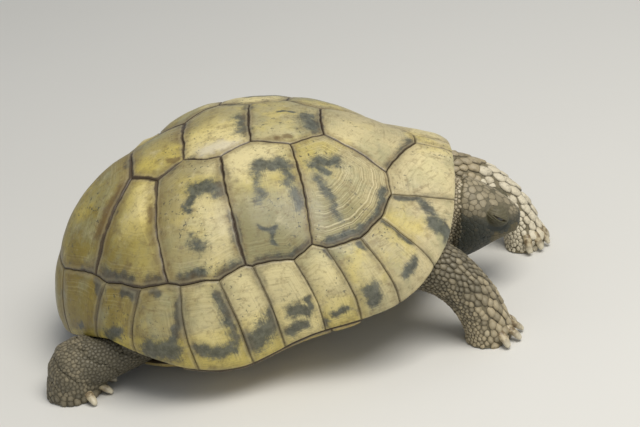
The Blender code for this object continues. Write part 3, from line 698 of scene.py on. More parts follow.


# Strokes of painted sunlight, sheen and shade lie among the real markings, told apart by their kinds.
STROKES: dict[str, tuple[Stroke, ...]] = {
    "vertebral_1": (Stroke(((0.45, 20), (0.55, 10)), 10.0, Mark.LIGHT, 0.5),
        Stroke(((0.777, 4), (0.711, 19)), 2.3, strength=0.9)),
    "vertebral_2": (Stroke(((0.28, 10), (0.25, 40)), 8.0, Mark.LIGHT, 0.4),
        Stroke(((0.254, -12), (0.31, -9)), 0.8), Stroke(((0.366, 0), (0.378, 14)), 4.2, strength=0.82),
        Stroke(((0.241, 40), (0.287, 34)), 1.3, Mark.STAIN, 0.9)),
    # the dome's top: painted sunlight and painted sheen, with a scuff and a slate blotch
    "vertebral_3": (Stroke(((0.12, 60), (0.12, 110)), 12.0, Mark.LIGHT, 0.85),
        Stroke(((0.10, 30), (0.10, 140)), 8.0, Mark.GOLD, 0.8),
        Stroke(((0.145, 110), (0.155, 83)), 3.2, Mark.SCUFF, 0.9),
        Stroke(((0.089, -22), (0.117, 51)), 2.9, strength=0.8)),
    "vertebral_4": (Stroke(((0.26, 165), (0.26, 145)), 14.0, Mark.GOLD, 0.45),
        Stroke(((0.221, 145), (0.213, 141)), 1.6, Mark.STAIN),
        Stroke(((0.317, 161), (0.322, 147)), 1.6, Mark.STAIN)),
    "vertebral_5": (Stroke(((0.45, 172), (0.60, 160)), 14.0, Mark.GOLD, 0.25),
        Stroke(((0.361, 160), (0.475, 158), (0.571, 156)), 1.9, Mark.STAIN),
        Stroke(((0.736, 158), (0.731, 153)), 1.6)),
    "costal_1": (Stroke(((0.424, 44), (0.482, 35)), 2.5), Stroke(((0.449, 45), (0.48, 44)), 1.6),
        Stroke(((0.477, 50), (0.566, 51)), 2.2, strength=0.74),
        Stroke(((0.594, 52), (0.665, 55)), 1.7, strength=0.66), Stroke(((0.742, 62), (0.731, 53)), 2.0),
        Stroke(((0.734, 51), (0.729, 42), (0.70, 31)), 1.8),
        Stroke(((0.62, 58), (0.68, 50)), 8.0, Mark.SHADE, 0.9)),
    "costal_2": (Stroke(((0.325, 69), (0.366, 57)), 3.0),
        Stroke(((0.363, 73), (0.495, 77)), 2.0, strength=0.76),
        Stroke(((0.394, 59), (0.559, 64)), 2.0, strength=0.85), Stroke(((0.632, 81), (0.643, 76)), 0.9),
        Stroke(((0.64, 78), (0.709, 78)), 1.1, strength=0.85),
        Stroke(((0.787, 85), (0.785, 80), (0.787, 75)), 2.0), Stroke(((0.787, 74), (0.736, 67)), 1.8),
        Stroke(((0.40, 76), (0.42, 62)), 7.0, Mark.GOLD, 0.5),
        Stroke(((0.62, 84), (0.66, 72)), 10.0, Mark.SHADE),
        Stroke(((0.27, 80), (0.28, 64)), 8.0, Mark.LIGHT, 0.95)),
    "costal_3": (Stroke(((0.35, 108), (0.358, 99), (0.411, 90)), 3.0),
        Stroke(((0.368, 109), (0.411, 109)), 1.7), Stroke(((0.429, 111), (0.457, 109)), 1.6, strength=0.8),
        Stroke(((0.615, 106), (0.637, 104)), 2.6, strength=0.74),
        Stroke(((0.564, 108), (0.599, 108)), 1.4, strength=0.72),
        Stroke(((0.404, 90), (0.485, 88)), 1.7, strength=0.85), Stroke(((0.747, 111), (0.744, 105)), 2.1),
        Stroke(((0.785, 98), (0.772, 90)), 2.3), Stroke(((0.33, 112), (0.36, 94)), 5.0, Mark.GOLD, 0.6),
        Stroke(((0.45, 104), (0.66, 98)), 9.0, Mark.LIGHT, 0.55),
        Stroke(((0.26, 100), (0.27, 90)), 5.0, Mark.LIGHT, 0.6)),
    "costal_4": (Stroke(((0.442, 132), (0.46, 129)), 1.8, Mark.STAIN),
        Stroke(((0.744, 147), (0.739, 132)), 2.5), Stroke(((0.739, 123), (0.736, 118)), 2.5),
        Stroke(((0.678, 118), (0.528, 120)), 1.0, strength=0.8),
        Stroke(((0.40, 141), (0.46, 137)), 9.0, Mark.GOLD),
        Stroke(((0.52, 134), (0.64, 128)), 9.0, Mark.GOLD, 0.5),
        Stroke(((0.40, 141), (0.46, 137)), 8.0, Mark.LIGHT, 0.6)),
    "marginal_1": (Stroke(((0.85, 8), (0.85, 14)), 8.0, Mark.LIGHT, 0.6),),
    "marginal_2": (Stroke(((0.749, 30), (0.815, 26)), 1.3),
        Stroke(((0.815, 26), (0.881, 28)), 1.9, strength=0.85), Stroke(((0.891, 30), (0.968, 29)), 2.8)),
    "marginal_3": (Stroke(((0.744, 41), (0.782, 40), (0.858, 40)), 1.6),
        Stroke(((0.917, 43), (0.947, 47)), 1.8)),
    "marginal_4": (Stroke(((0.86, 56), (0.98, 57)), 8.0, Mark.LIGHT, 0.35),
        Stroke(((0.772, 53), (0.785, 53)), 1.2), Stroke(((0.957, 57), (1.001, 57)), 2.7)),
    "marginal_5": (Stroke(((0.86, 66), (0.98, 68)), 9.0, Mark.LIGHT, 0.65),
        Stroke(((0.767, 64), (0.797, 63)), 1.0), Stroke(((1.041, 68), (1.031, 65)), 1.5),
        Stroke(((1.087, 71), (1.107, 71)), 1.3)),
    "marginal_6": (Stroke(((0.82, 76), (1.02, 78)), 11.0, Mark.LIGHT, 1.15),
        Stroke(((1.011, 79), (1.008, 76)), 3.0), Stroke(((1.079, 82), (1.074, 78)), 2.4),
        Stroke(((0.97, 74), (1.003, 74)), 1.3)),
    "marginal_7": (Stroke(((0.83, 92), (1.0, 92)), 10.0, Mark.LIGHT, 0.7),
        Stroke(((1.059, 96), (1.044, 91), (1.021, 87)), 3.8), Stroke(((0.988, 86), (1.001, 85)), 1.9)),
    "marginal_8": (Stroke(((0.84, 106), (0.98, 106)), 10.0, Mark.LIGHT, 0.5),
        Stroke(((1.013, 111), (1.036, 107), (1.054, 102)), 2.3),
        Stroke(((0.861, 101), (0.955, 100), (1.026, 100)), 2.4, strength=0.8)),
    "marginal_9": (Stroke(((0.85, 120), (0.94, 122)), 7.0, Mark.LIGHT, 0.3),
        Stroke(((1.021, 125), (1.011, 119)), 4.3), Stroke(((0.823, 113), (0.907, 114), (0.996, 118)), 1.6),
        Stroke(((0.772, 122), (0.782, 120)), 1.4)),
    "marginal_10": (Stroke(((0.777, 134), (0.78, 128)), 2.0),
        Stroke(((0.792, 127), (0.866, 127), (0.935, 129)), 1.7),
        Stroke(((0.985, 141), (0.952, 136)), 2.2)),
    "marginal_11": (Stroke(((0.772, 149), (0.846, 144), (0.922, 146)), 1.7),
        Stroke(((0.957, 156), (0.95, 154)), 1.1)),
    "supracaudal": (Stroke(((0.785, 165), (0.83, 161), (0.932, 162)), 1.6),),
}


@dataclass
class ShellPlates:
    """The 49 horn plates of the shell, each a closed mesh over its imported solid."""

    form: ShellForm
    thickness: float = 3.8
    swell: float = 0.6
    seam_gap: float = 0.13
    seam_depth: float = 0.55
    seam_width: float = 1.1
    edge_radius: float = 1.7
    ring_height: float = 0.11
    sample: float = 0.85
    spine_corners: tuple[tuple[float, float], ...] = (
        (0.412, 18.7), (0.300, 39.7), (0.184, 59.1), (0.199, 92.5), (0.204, 131.7), (0.314, 141.8),
        (0.316, 161.3))
    girdle_corners: tuple[tuple[float, float, str], ...] = (
        (0.794, 3.1, "m"), (0.693, 22.6, "v"), (0.728, 29.8, "m"), (0.738, 40.9, "m"),
        (0.754, 51.9, "m"), (0.761, 63.3, "m"), (0.735, 66.6, "c"), (0.800, 74.2, "m"),
        (0.794, 88.1, "m"), (0.782, 90.2, "c"), (0.801, 100.0, "m"), (0.766, 112.3, "m"),
        (0.747, 116.4, "c"), (0.759, 126.8, "m"), (0.765, 144.7, "m"), (0.743, 150.9, "v"),
        (0.762, 169.6, "m"))
    rim_seams: tuple[float, ...] = (2.6, 18.3, 37.9, 50.8, 61.5, 71.7, 85.7, 97.5, 113.3, 131.2, 147.6,
                                    165.0)
    plastron_names: tuple[str, ...] = ("gular", "humeral", "pectoral", "abdominal", "femoral", "anal")
    plastron_seam_x: tuple[float, ...] = (95.0, 68.0, 36.0, 24.0, -36.0, -62.0, -84.0)
    plastron_seam_angles: tuple[float, ...] = (0.0, 15.0, 50.0, 70.0, 124.0, 152.0, 180.0)
    made: list[Piece] = field(default_factory=list)

    def build(self) -> list[Piece]:
        """Make every plate and return them."""
        top = HornFinish("horn_carapace").build()
        rim = HornFinish("horn_marginal", ring_count=22.0, seam_share=0.48).build()
        base = HornFinish("horn_plastron", middle=(190, 168, 104), rear=(178, 156, 92),
                          front=(198, 180, 122), ring_count=24.0).build()
        for name, corners in self.carapace_outlines().items():
            kind = "carapace" if name.startswith(("vertebral", "costal")) else "marginal"
            self.plate(name, corners, self.form.carapace, kind, top if kind == "carapace" else rim)
        for name, corners in self.plastron_outlines().items():
            self.plate(name, corners, self.form.plastron, "plastron", base)
        return self.made

    def rim_corner(self, seam: int) -> Corners:
        """Return a marginal seam's lower end, after a point on the rim where it tucks under."""
        degrees = self.rim_seams[seam]
        edge = float(self.form.under_edge(np.array(math.radians(degrees))))
        return [disc(1.0, degrees), disc(edge, degrees)] if edge > 1.02 else [disc(edge, degrees)]

    def lower_arc(self, start: int, end: int) -> Corners:
        """Return places along the marginals' lower edge between two seams, ends left out."""
        first, last = self.rim_seams[start], self.rim_seams[end]
        steps = 6
        inner = [first + (last - first) * i / steps for i in range(1, steps)]
        return [disc(float(self.form.under_edge(np.array(math.radians(d)))), d) for d in inner]

    def carapace_outlines(self) -> dict[str, Corners]:
        """Return the corners of the 37 plates of the carapace, by the names of their nodes."""
        spine = [disc(*corner) for corner in self.spine_corners]
        girdle = [disc(r, d) for r, d, _ in self.girdle_corners]
        kinds = [kind for _, _, kind in self.girdle_corners]
        rims = [i for i, kind in enumerate(kinds) if kind == "m"]
        ribs = [i for i, kind in enumerate(kinds) if kind in "vc"]
        plates: dict[str, Corners] = {}
        halves = [[girdle[0], girdle[ribs[0]], spine[0]], spine[0:3], spine[2:5], spine[4:7],
                  [spine[6], girdle[ribs[-1]], girdle[-1]]]
        for number, half in enumerate(halves, 1):
            plates[f"vertebral_{number}"] = half[::-1] + flipped(half[::-1])
        inner = [spine[0:2], spine[1:4], spine[3:6], spine[5:7]]
        for number in range(4):
            side = girdle[ribs[number]:ribs[number + 1] + 1] + inner[number][::-1]
            plates[f"costal_left_{number + 1}"] = side
            plates[f"costal_right_{number + 1}"] = flipped(side)
        for number in range(11):
            lower = self.rim_corner(number) + self.lower_arc(number, number + 1)
            lower += self.rim_corner(number + 1)[::-1]
            side = girdle[rims[number]:rims[number + 1] + 1][::-1] + lower
            plates[f"marginal_left_{number + 1}"] = side
            plates[f"marginal_right_{number + 1}"] = flipped(side)
        nape = self.rim_corner(0) + [girdle[0]]
        plates["nuchal"] = nape + flipped(nape)
        last = len(self.rim_seams) - 1
        tail = [girdle[-1]] + self.rim_corner(last)
        tail += [disc(1.0, self.rim_seams[last] + (180.0 - self.rim_seams[last]) * i / 4) for i in (1, 2, 3)]
        plates["supracaudal"] = tail + [disc(1.0, 180.0)] + flipped(tail)
        return plates

    def plastron_outlines(self) -> dict[str, Corners]:
        """Return the corners of the twelve plates of the plastron, by the names of their nodes."""
        plates: dict[str, Corners] = {}
        for number, name in enumerate(self.plastron_names):
            back, front = self.plastron_seam_x[number + 1], self.plastron_seam_x[number]
            first, last = self.plastron_seam_angles[number:number + 2]
            steps = max(4, round((last - first) / 3.0))
            border = []
            for i in range(steps + 1):
                degrees = first + (last - first) * i / steps
                reach = float(self.form.plastron_edge(np.array(math.radians(degrees)))[0])
                border.append(disc(reach, degrees))
            border = border[1:] if number == 0 else border
            border = border[:-1] if number == len(self.plastron_names) - 1 else border
            corners = [(back, 0.0), (front, 0.0)] + border
            plates[f"{name}_left"] = corners
            plates[f"{name}_right"] = flipped(corners)
        return plates

    def trace(self, corners: Corners, surface: Callable[[Array], tuple[Array, Array]],
              crosses: bool) -> Array:
        """Sample an outline finely.

        Args:
            corners: the plate's corners.
            surface: the surface that they lie on.
            crosses: whether a seam from side to side is to run straight in plan.

        Returns:
            The outline's places, one row each.
        """
        places: list[tuple[float, float]] = []
        for start, end in zip(corners, corners[1:] + corners[:1]):
            ends, _ = surface(np.array([start, end]))
            count = max(1, round(float(np.linalg.norm(ends[1] - ends[0])) / self.sample))
            share = np.arange(count)[:, None] / count
            row = np.array(start) * (1.0 - share) + np.array(end) * share
            if crosses and start[1] * end[1] < 0.0 and math.hypot(*start) < 0.6:
                plan = ends[0] * (1.0 - share) + ends[1] * share
                row = np.array([start] + [self.form.place_above(point) for point in plan[1:]])
            places += [tuple(place) for place in row]
        return np.array(places)

    @staticmethod
    def wander(places: Array) -> Array:
        """Shift places a little, so that the seams aren't dead straight; neighbours shift alike."""
        x, y = places[..., 0], places[..., 1]
        size = 0.0016 * (1.0 - ease((np.hypot(x, y) - 0.80) / 0.12))
        along = np.sin(41.0 * x + 23.0 * y + 1.0) + 0.6 * np.sin(97.0 * y - 61.0 * x)
        across = np.sin(37.0 * y - 29.0 * x + 2.0) + 0.6 * np.sin(83.0 * x + 71.0 * y)
        return places + np.stack([along, across * np.sign(y) * np.minimum(np.abs(y) * 20, 1)], -1) \
            * size[..., None]

    def areola(self, name: str, outline: Array) -> Array:
        """Return where a plate's growth began: towards the spine and the tail of its middle.

        Args:
            name: the plate's node.
            outline: its outline.

        Returns:
            The place.
        """
        middle = outline.mean(0)
        if name.startswith("costal"):
            return middle * 0.80 + np.array([-0.02, 0.0])
        if name.startswith("marginal"):
            turn = math.radians(3.0 if middle[1] > 0.0 else -3.0)
            return middle @ np.array([[math.cos(turn), math.sin(turn)],
                                      [-math.sin(turn), math.cos(turn)]]) * 1.07
        if name.startswith("vertebral"):
            return middle + np.array([-0.012, 0.0])
        return middle

    def plate(self, name: str, corners: Corners, surface: Callable[[Array], tuple[Array, Array]],
              slot: str, finish: Material) -> None:
        """Make one plate as a closed mesh of rings round its areola.

        Args:
            name: the node that it stands for.
            corners: the plate's corners.
            surface: the shell surface that it lies on.
            slot: the record's material slot.
            finish: its material.
        """
        on_top = slot != "plastron"
        outline = self.trace(corners, surface, on_top)
        if on_top:
            outline = self.wander(outline)
        centre = self.areola(name, outline)
        rim, _ = surface(outline)
        heart, heart_out = surface(centre[None])
        length = norms(rim - heart)
        free = self.free_edge(outline, on_top)

        steps = [0.0, 0.18, 0.36, 0.56, 0.8, 1.1, 1.45, 1.85, 2.3, 2.8]
        coarse = 0.62 if on_top else 0.95
        reach = float(length.mean())
        while steps[-1] < reach - 1.2:
            steps.append(steps[-1] + coarse)
        levels = 1.0 - np.array(steps[::-1]) / reach
        parts = levels[:, None] * (1.0 - self.seam_gap / length)[None, :]
        places = centre + (outline - centre)[None] * parts[..., None]
        points, out = surface(places)

        seam = self.distance(points, rim[~free])
        edge = self.distance(points, rim[free])
        lift = self.relief(name, parts, points, seam, edge, slot)
        outer = points + out * lift[..., None]
        back = surface(centre + (outline - centre)[None] * parts[[0, len(parts) // 2, -1], :, None])
        lower = np.where(free[None, :], np.array([0.0, 0.0, 1.0])[:, None], 0.0)
        inner = back[0] - back[1] * (self.thickness - lower * self.edge_radius * 0.7)[..., None]
        tops, bottoms = heart + heart_out * float(lift[0].mean()), heart - heart_out * self.thickness

        count, rows = len(outline), len(levels)
        all_points = np.concatenate([tops, outer.reshape(-1, 3), bottoms, inner.reshape(-1, 3)])
        faces = self.faces(count, rows, 1, tops_first=0, flip=False)
        start = 1 + rows * count
        faces += self.faces(count, 3, start + 1, tops_first=start, flip=True)
        a, b = 1 + (rows - 1) * count, start + 1 + 2 * count
        faces += [(a + i, b + i, b + (i + 1) % count, a + (i + 1) % count) for i in range(count)]
        obj = mesh_object(f"scute_{name}", self.form.to_floor(all_points), faces)
        with editing(obj):
            bpy.ops.mesh.normals_make_consistent(inside=False)
        shade_smooth(obj)
        pad = 1 + 3 * count
        set_attribute(obj, "growth", np.concatenate([[0.0], parts.ravel(), np.ones(pad)]))
        set_attribute(obj, "seam", np.concatenate([seam[0, :1], seam.ravel(), np.zeros(pad) + 0.1]))
        ringing = self.ringing(name, parts, points).ravel()
        set_attribute(obj, "ringing", np.concatenate([[0.2], ringing, np.zeros(pad)]))
        for kind in Mark:
            values = self.paint(name, kind, points, slot)
            set_attribute(obj, kind.value, np.concatenate([values[0, :1], values.ravel(), np.zeros(pad)]))
        obj.data.materials.append(finish)
        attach(obj, "root")
        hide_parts(name)
        self.made.append(obj)

    @staticmethod
    def faces(count: int, rows: int, first: int, tops_first: int, flip: bool) -> list[tuple[int, ...]]:
        """Return the faces of a fan and the rings round it.

        Args:
            count: vertices in each ring.
            rows: number of rings.
            first: number of the first ring's first vertex.
            tops_first: number of the middle vertex.
            flip: whether the faces turn the other way.

        Returns:
            The faces.
        """
        made: list[tuple[int, ...]] = []
        for i in range(count):
            j = (i + 1) % count
            made.append((tops_first, first + i, first + j))
            for row in range(rows - 1):
                a, b = first + row * count, first + (row + 1) * count
                made.append((a + i, b + i, b + j, a + j))
        return [face[::-1] for face in made] if flip else made

    def free_edge(self, outline: Array, on_top: bool) -> Array:
        """Say which points of an outline lie on the shell's free rim and not on a seam.

        Args:
            outline: the outline's places.
            on_top: whether they lie on the carapace.

        Returns:
            Whether each point does.
        """
        radius, angle = np.hypot(outline[:, 0], outline[:, 1]), np.arctan2(outline[:, 1], outline[:, 0])
        if on_top:
            lowest = radius > self.form.under_edge(angle) - 0.004
        else:
            lowest = radius > self.form.plastron_edge(angle)[0] - 0.6
        return lowest & (self.form.bridge_weight(angle) < 0.5)

    @staticmethod
    def distance(points: Array, line: Array) -> Array:
        """Return each point's distance from the nearest point of a line, in millimetres.

        Args:
            points: the points.
            line: the line's points, or none.

        Returns:
            The distances.
        """
        if not len(line):
            return np.full(points.shape[:-1], 99.0)
        best = np.full(points.shape[:-1], np.inf)
        for row in range(points.shape[0]):
            away = points[row][:, None] - line[None]
            best[row] = np.sqrt((away ** 2).sum(-1).min(1))
        return best

    def relief(self, name: str, parts: Array, points: Array, seam: Array, edge: Array,
               slot: str) -> Array:
        """Return how far each point of a plate stands off the shell's surface.

        Args:
            name: the plate's node.
            parts: how far out from the areola each point is, 0 to 1.
            points: the points in the shell's frame.
            seam: distance from the nearest seam.
            edge: distance from the nearest free rim.
            slot: the record's material slot.

        Returns:
            The heights in millimetres.
        """
        swell = self.swell if slot != "plastron" else 0.25
        height = swell * ease(seam / 9.0) * ease(edge / 9.0)
        height -= self.seam_depth * (1.0 - ease(seam / self.seam_width))
        inside = np.clip(self.edge_radius - edge, 0.0, self.edge_radius)
        height -= self.edge_radius - np.sqrt(self.edge_radius ** 2 - inside ** 2)
        rng = random.Random(name)
        rings = np.zeros_like(parts)
        level = 0.30
        while level < 0.97:
            size = rng.uniform(0.035, 0.075)
            inside_ring = np.clip((parts - level) / size, 0.0, 1.0)
            rings += np.sin(inside_ring * math.pi) * rng.uniform(0.5, 1.0)
            level += size
        x, y, z = points[..., 0], points[..., 1], points[..., 2]
        strength = self.ringing(name, parts, points)
        height += self.ring_height * rings * strength * ease(seam / 2.0)
        height += 0.10 * np.sin(x / 3.1 + 2.0 * np.sin(y / 5.3)) * np.sin(z / 3.7 + np.sin(x / 6.1))
        if name.startswith("costal") and name.endswith("4"):
            height += 1.5 * np.exp(-(parts / 0.42) ** 2)
        return height

    @staticmethod
    def ringing(name: str, parts: Array, points: Array) -> Array:
        """Return how strongly growth rings show, most at the front of the first costal plates.

        Args:
            name: the plate's node.
            parts: how far out from the areola each point is.
            points: the points in the shell's frame.

        Returns:
            The strengths, 0 to about 1.
        """
        x, y, z = points[..., 0], points[..., 1], points[..., 2]
        worn = 0.5 + 0.5 * np.sin(x / 9.0 + 1.3 * np.sin(z / 11.0)) * np.cos(y / 8.0 + z / 13.0)
        strength = 0.12 + 0.28 * worn
        if name.startswith("costal"):
            strength = strength + 0.22 * ease((58.0 - z) / 18.0)
            if name.endswith("1"):
                strength = strength + 0.85 * ease((x - 32.0) / 16.0)
        return strength * ease((parts - 0.12) / 0.3)

    def paint(self, name: str, kind: Mark, points: Array, slot: str) -> Array:
        """Return how strongly one kind of marking or painted light shows at each point, 0.5 at a marking's
        edge.

        Args:
            name: the plate's node.
            kind: the kind of marking.
            points: points in the shell's frame.
            slot: the record's material slot.

        Returns:
            The strengths.
        """
        if slot == "plastron":
            return self.plastron_mark(name, kind, points)
        value = np.zeros(points.shape[:-1])
        x, y, z = points[..., 0], points[..., 1], points[..., 2]
        points = points + 0.45 * np.stack([np.sin(y / 1.9 + z / 2.3) + np.sin(z / 1.1 + x / 3.0),
                                          np.sin(x / 2.1 - z / 1.7) + np.sin(x / 1.2 + z / 2.7),
                                          np.sin(x / 1.6 + y / 2.2) + np.sin(y / 1.3 - x / 2.4)], -1)
        side = 1.0 if "left" in name else -1.0
        rng = random.Random(f"{name} {kind.value}")
        plain = name.replace("_left", "").replace("_right", "")
        for stroke in (stroke for stroke in STROKES.get(plain, ()) if stroke.kind is kind):
            turn, push, size = 0.0, 0.0, 1.0
            if side > 0.0:
                turn, push, size = rng.uniform(-3, 3), rng.uniform(-0.02, 0.02), rng.uniform(0.75, 1.25)
            radius = np.array([r + push for r, _ in stroke.path])
            angle = np.radians([(d + turn) * side for _, d in stroke.path])
            path = self.form.point(radius, angle)
            for start, end in zip(path, path[1:]):
                run = end - start
                share = np.clip(((points - start) @ run) / max(float(run @ run), 1e-9), 0.0, 1.0)
                away = np.linalg.norm(points - start - share[..., None] * run, axis=-1)
                found = stroke.strength * (1.16 - away / (2.3 * stroke.half_width * size))
                value = np.maximum(value, found)
        if kind is Mark.GOLD and plain.startswith("marginal"):
            rim = cosine_ring(self.form.rim_height)(np.arctan2(y, x))
            low = ease((rim + 8.0 - z) / 7.0)
            value = np.maximum(value, 0.9 * low * ease((70.0 - x) / 40.0))
        return value

    def plastron_mark(self, name: str, kind: Mark, points: Array) -> Array:
        """Return the dark smudge in the middle of each plate of the underside.

        Args:
            name: the plate's node.
            kind: the kind of marking.
            points: points in the shell's frame.

        Returns:
            The strengths.
        """
        if kind is not Mark.SLATE:
            return np.zeros(points.shape[:-1])
        rng = random.Random(name)
        middle = points.reshape(-1, 3).mean(0) * np.array([1.0, rng.uniform(0.9, 1.15), 1.0])
        middle[0] += rng.uniform(-6.0, 2.0)
        away = np.linalg.norm((points - middle) * np.array([1.0, 0.7, 0.3]), axis=-1)
        return 1.0 - away / rng.uniform(16.0, 24.0)


# ---- the body under the shell ---------------------------------------------------------------------
@dataclass(frozen=True)
class HeadFrame:
    """The head's own frame: forward, to its left and up, in millimetres from the back of the skull."""

    form: ShellForm
    pivot: tuple[float, float, float] = (101.5, -1.5, 47.5)
    pitch: float = 17.0
    yaw: float = -7.0
    eye_place: tuple[float, float, float] = (19.4, 10.6, 3.2)
    eye_radius: float = 4.35

    def axes(self) -> Array:
        """Return the frame's axes as the columns of a matrix."""
        turn, tip = math.radians(self.yaw), math.radians(self.pitch)
        level = np.array([[math.cos(turn), -math.sin(turn), 0], [math.sin(turn), math.cos(turn), 0],
                          [0, 0, 1.0]])
        nod = np.array([[math.cos(tip), 0, math.sin(tip)], [0, 1, 0], [-math.sin(tip), 0, math.cos(tip)]])
        return level @ nod

    def origin(self) -> Array:
        """Return where the frame's origin lies in the part's frame, in millimetres."""
        return np.array(self.pivot) + np.array([self.form.shift(), 0.0, 0.0])

    def local(self, points: Array) -> Array:
        """Turn points in metres into the head's frame."""
        return (points / MM - self.origin()) @ self.axes()

    def world(self, places: Array) -> Array:
        """Turn places in the head's frame into metres."""
        return (np.asarray(places) @ self.axes().T + self.origin()) * MM

    def eye(self, side: float) -> Array:
        """Return an eye's centre in the head's frame; side is 1 for left and -1 for right."""
        return np.array(self.eye_place) * np.array([1.0, side, 1.0])

    def nostril(self, side: float) -> Array:
        """Return a nostril's place in the head's frame."""
        return np.array([32.6, side * 2.7, -0.6])

    @staticmethod
    def away(local: Array, pair: Callable[[float], Array]) -> Array:
        """Return how far places lie from the nearer one of a pair, such as the eyes."""
        return np.minimum(*(norms(local - pair(side)) for side in SIDES))

    def gaze(self, side: float) -> Array:
        """Return where an eye looks, in the head's frame."""
        look = np.array([0.30, side * 0.93, 0.16])
        return look / np.linalg.norm(look)


class Region(Enum):
    """The regions of the skin, each with its own kind of scales."""

    HEAD = "head"
    NECK = "neck"
    TAIL = "tail"
    FRONT_LEFT = "leg_front_left"
    FRONT_RIGHT = "leg_front_right"
    HIND_LEFT = "leg_hind_left"
    HIND_RIGHT = "leg_hind_right"


@dataclass(frozen=True)
class Limb:
    """The middle line of a limb with its half widths, and the headings and pitches of its claws."""

    region: Region
    line: tuple[tuple[float, float, float, float], ...]
    claws: tuple[tuple[float, float], ...] = ()
    foot_radius: float = 0.0


LIMBS = (
    Limb(Region.NECK, ((62, 2, 44, 21), (82, 1, 43, 18), (101, -1, 42, 15))),
    Limb(Region.TAIL, ((-78, 0, 11, 7), (-92, 1, 8.5, 6), (-102, 4, 6.5, 5), (-110, 9, 5, 3),
                       (-115, 14, 4.2, 1.5))),
    Limb(Region.FRONT_RIGHT, ((58, -40, 46, 18), (76, -49, 45, 15), (89, -54, 38.5, 12.5),
                              (98, -56, 27, 12.5), (104, -57, 14, 12), (105, -57, 0, 12)),
         ((-62, 30), (-31, 30), (0, 30), (31, 30), (60, 30)), 12.0),
    Limb(Region.FRONT_LEFT, ((58, 40, 46, 18), (84, 47, 46, 15.5), (104, 48, 42, 13.5),
                             (117, 46, 34.5, 12.5), (129, 41.5, 25, 11.5), (136, 37, 14, 10.8),
                             (136.5, 34.5, 0, 10.8)),
         ((-84, 50), (-54, 50), (-24, 50), (6, 50), (36, 50)), 10.8),
    Limb(Region.HIND_RIGHT, ((-54, -40, 28, 18), (-74, -46, 22, 16.5), (-90, -50, 16.5, 15.5),
                             (-103, -52.5, 17, 15.5), (-105, -52, 5, 14.8), (-105, -52, 0, 14.8)),
         ((-58, 18), (-24, 18), (8, 18), (40, 18)), 14.8),
    Limb(Region.HIND_LEFT, ((-48, 42, 32, 18), (-60, 50, 28, 16), (-68, 57, 20, 15), (-70, 60, 9, 14.5),
                            (-70, 60, 0, 14.5)),
         ((-42, 18), (-8, 18), (25, 18), (58, 18)), 14.5),
)


@dataclass(frozen=True)
class Body:
    """Tells, for points of the skin, which part of the body they belong to and which way it runs."""

    form: ShellForm
    head: HeadFrame

    def shell_place(self, points: Array) -> Array:
        """Turn points in metres into the shell's frame."""
        sine, cosine = math.sin(self.form.pitch), math.cos(self.form.pitch)
        x = points[:, 0] / MM - self.form.shift()
        z = points[:, 2] / MM - self.form.pivot_x * sine - self.form.clearance
        return np.stack([x * cosine + z * sine, points[:, 1] / MM, z * cosine - x * sine], -1)

    def depth(self, points: Array) -> Array:
        """Return how far inside the shell's rim points lie in plan, in millimetres."""
        place = self.shell_place(points)
        angle = np.arctan2(place[:, 1], place[:, 0])
        return cosine_ring(self.form.rim_reach)(angle) - np.hypot(place[:, 0], place[:, 1])

    def hidden(self, points: Array) -> Array:
        """Say which points no one sees, because the shell closes over them."""
        place, depth = self.shell_place(points), self.depth(points)
        angle = np.arctan2(place[:, 1], place[:, 0])
        above = place[:, 2] > cosine_ring(self.form.rim_height)(angle) + 9.0
        return (depth > 24.0) | ((self.form.bridge_weight(angle) > 0.6) & (depth > 3.0)) \
            | (above & (depth > 7.0))

    def nearest_limb(self, points: Array) -> tuple[Array, Array, Array]:
        """Find the limb that each point belongs to.

        Args:
            points: points in metres, one row each.

        Returns:
            The limb's number in LIMBS, or -1 for the head, how far along the limb the point is from 0
            to 1, and the limb's direction there.
        """
        floor = points / MM - np.array([self.form.shift(), 0.0, 0.0])
        local = self.head.local(points)
        count = len(points)
        best = np.where(local[:, 0] > -1.0, norms(local - np.array([16.0, 0.0, -3.0]))
                        / 20.0, 9.0)
        which, along = np.full(count, -1), np.clip(local[:, 0] / 36.0, 0.0, 1.0)
        run = np.tile(self.head.axes()[:, 0], (count, 1))
        for number, limb in enumerate(LIMBS):
            line = np.array(limb.line, float)
            for step in range(len(line) - 1):
                start, end = line[step, :3], line[step + 1, :3]
                way = end - start
                share = np.clip((floor - start) @ way / (way @ way), 0.0, 1.0)
                away = norms(floor - start - share[:, None] * way)
                away = away / (line[step, 3] * (1 - share) + line[step + 1, 3] * share)
                closer = away < best
                best = np.where(closer, away, best)
                which = np.where(closer, number, which)
                along = np.where(closer, (step + share) / (len(line) - 1), along)
                run[closer] = way / np.linalg.norm(way)
        return which, along, run


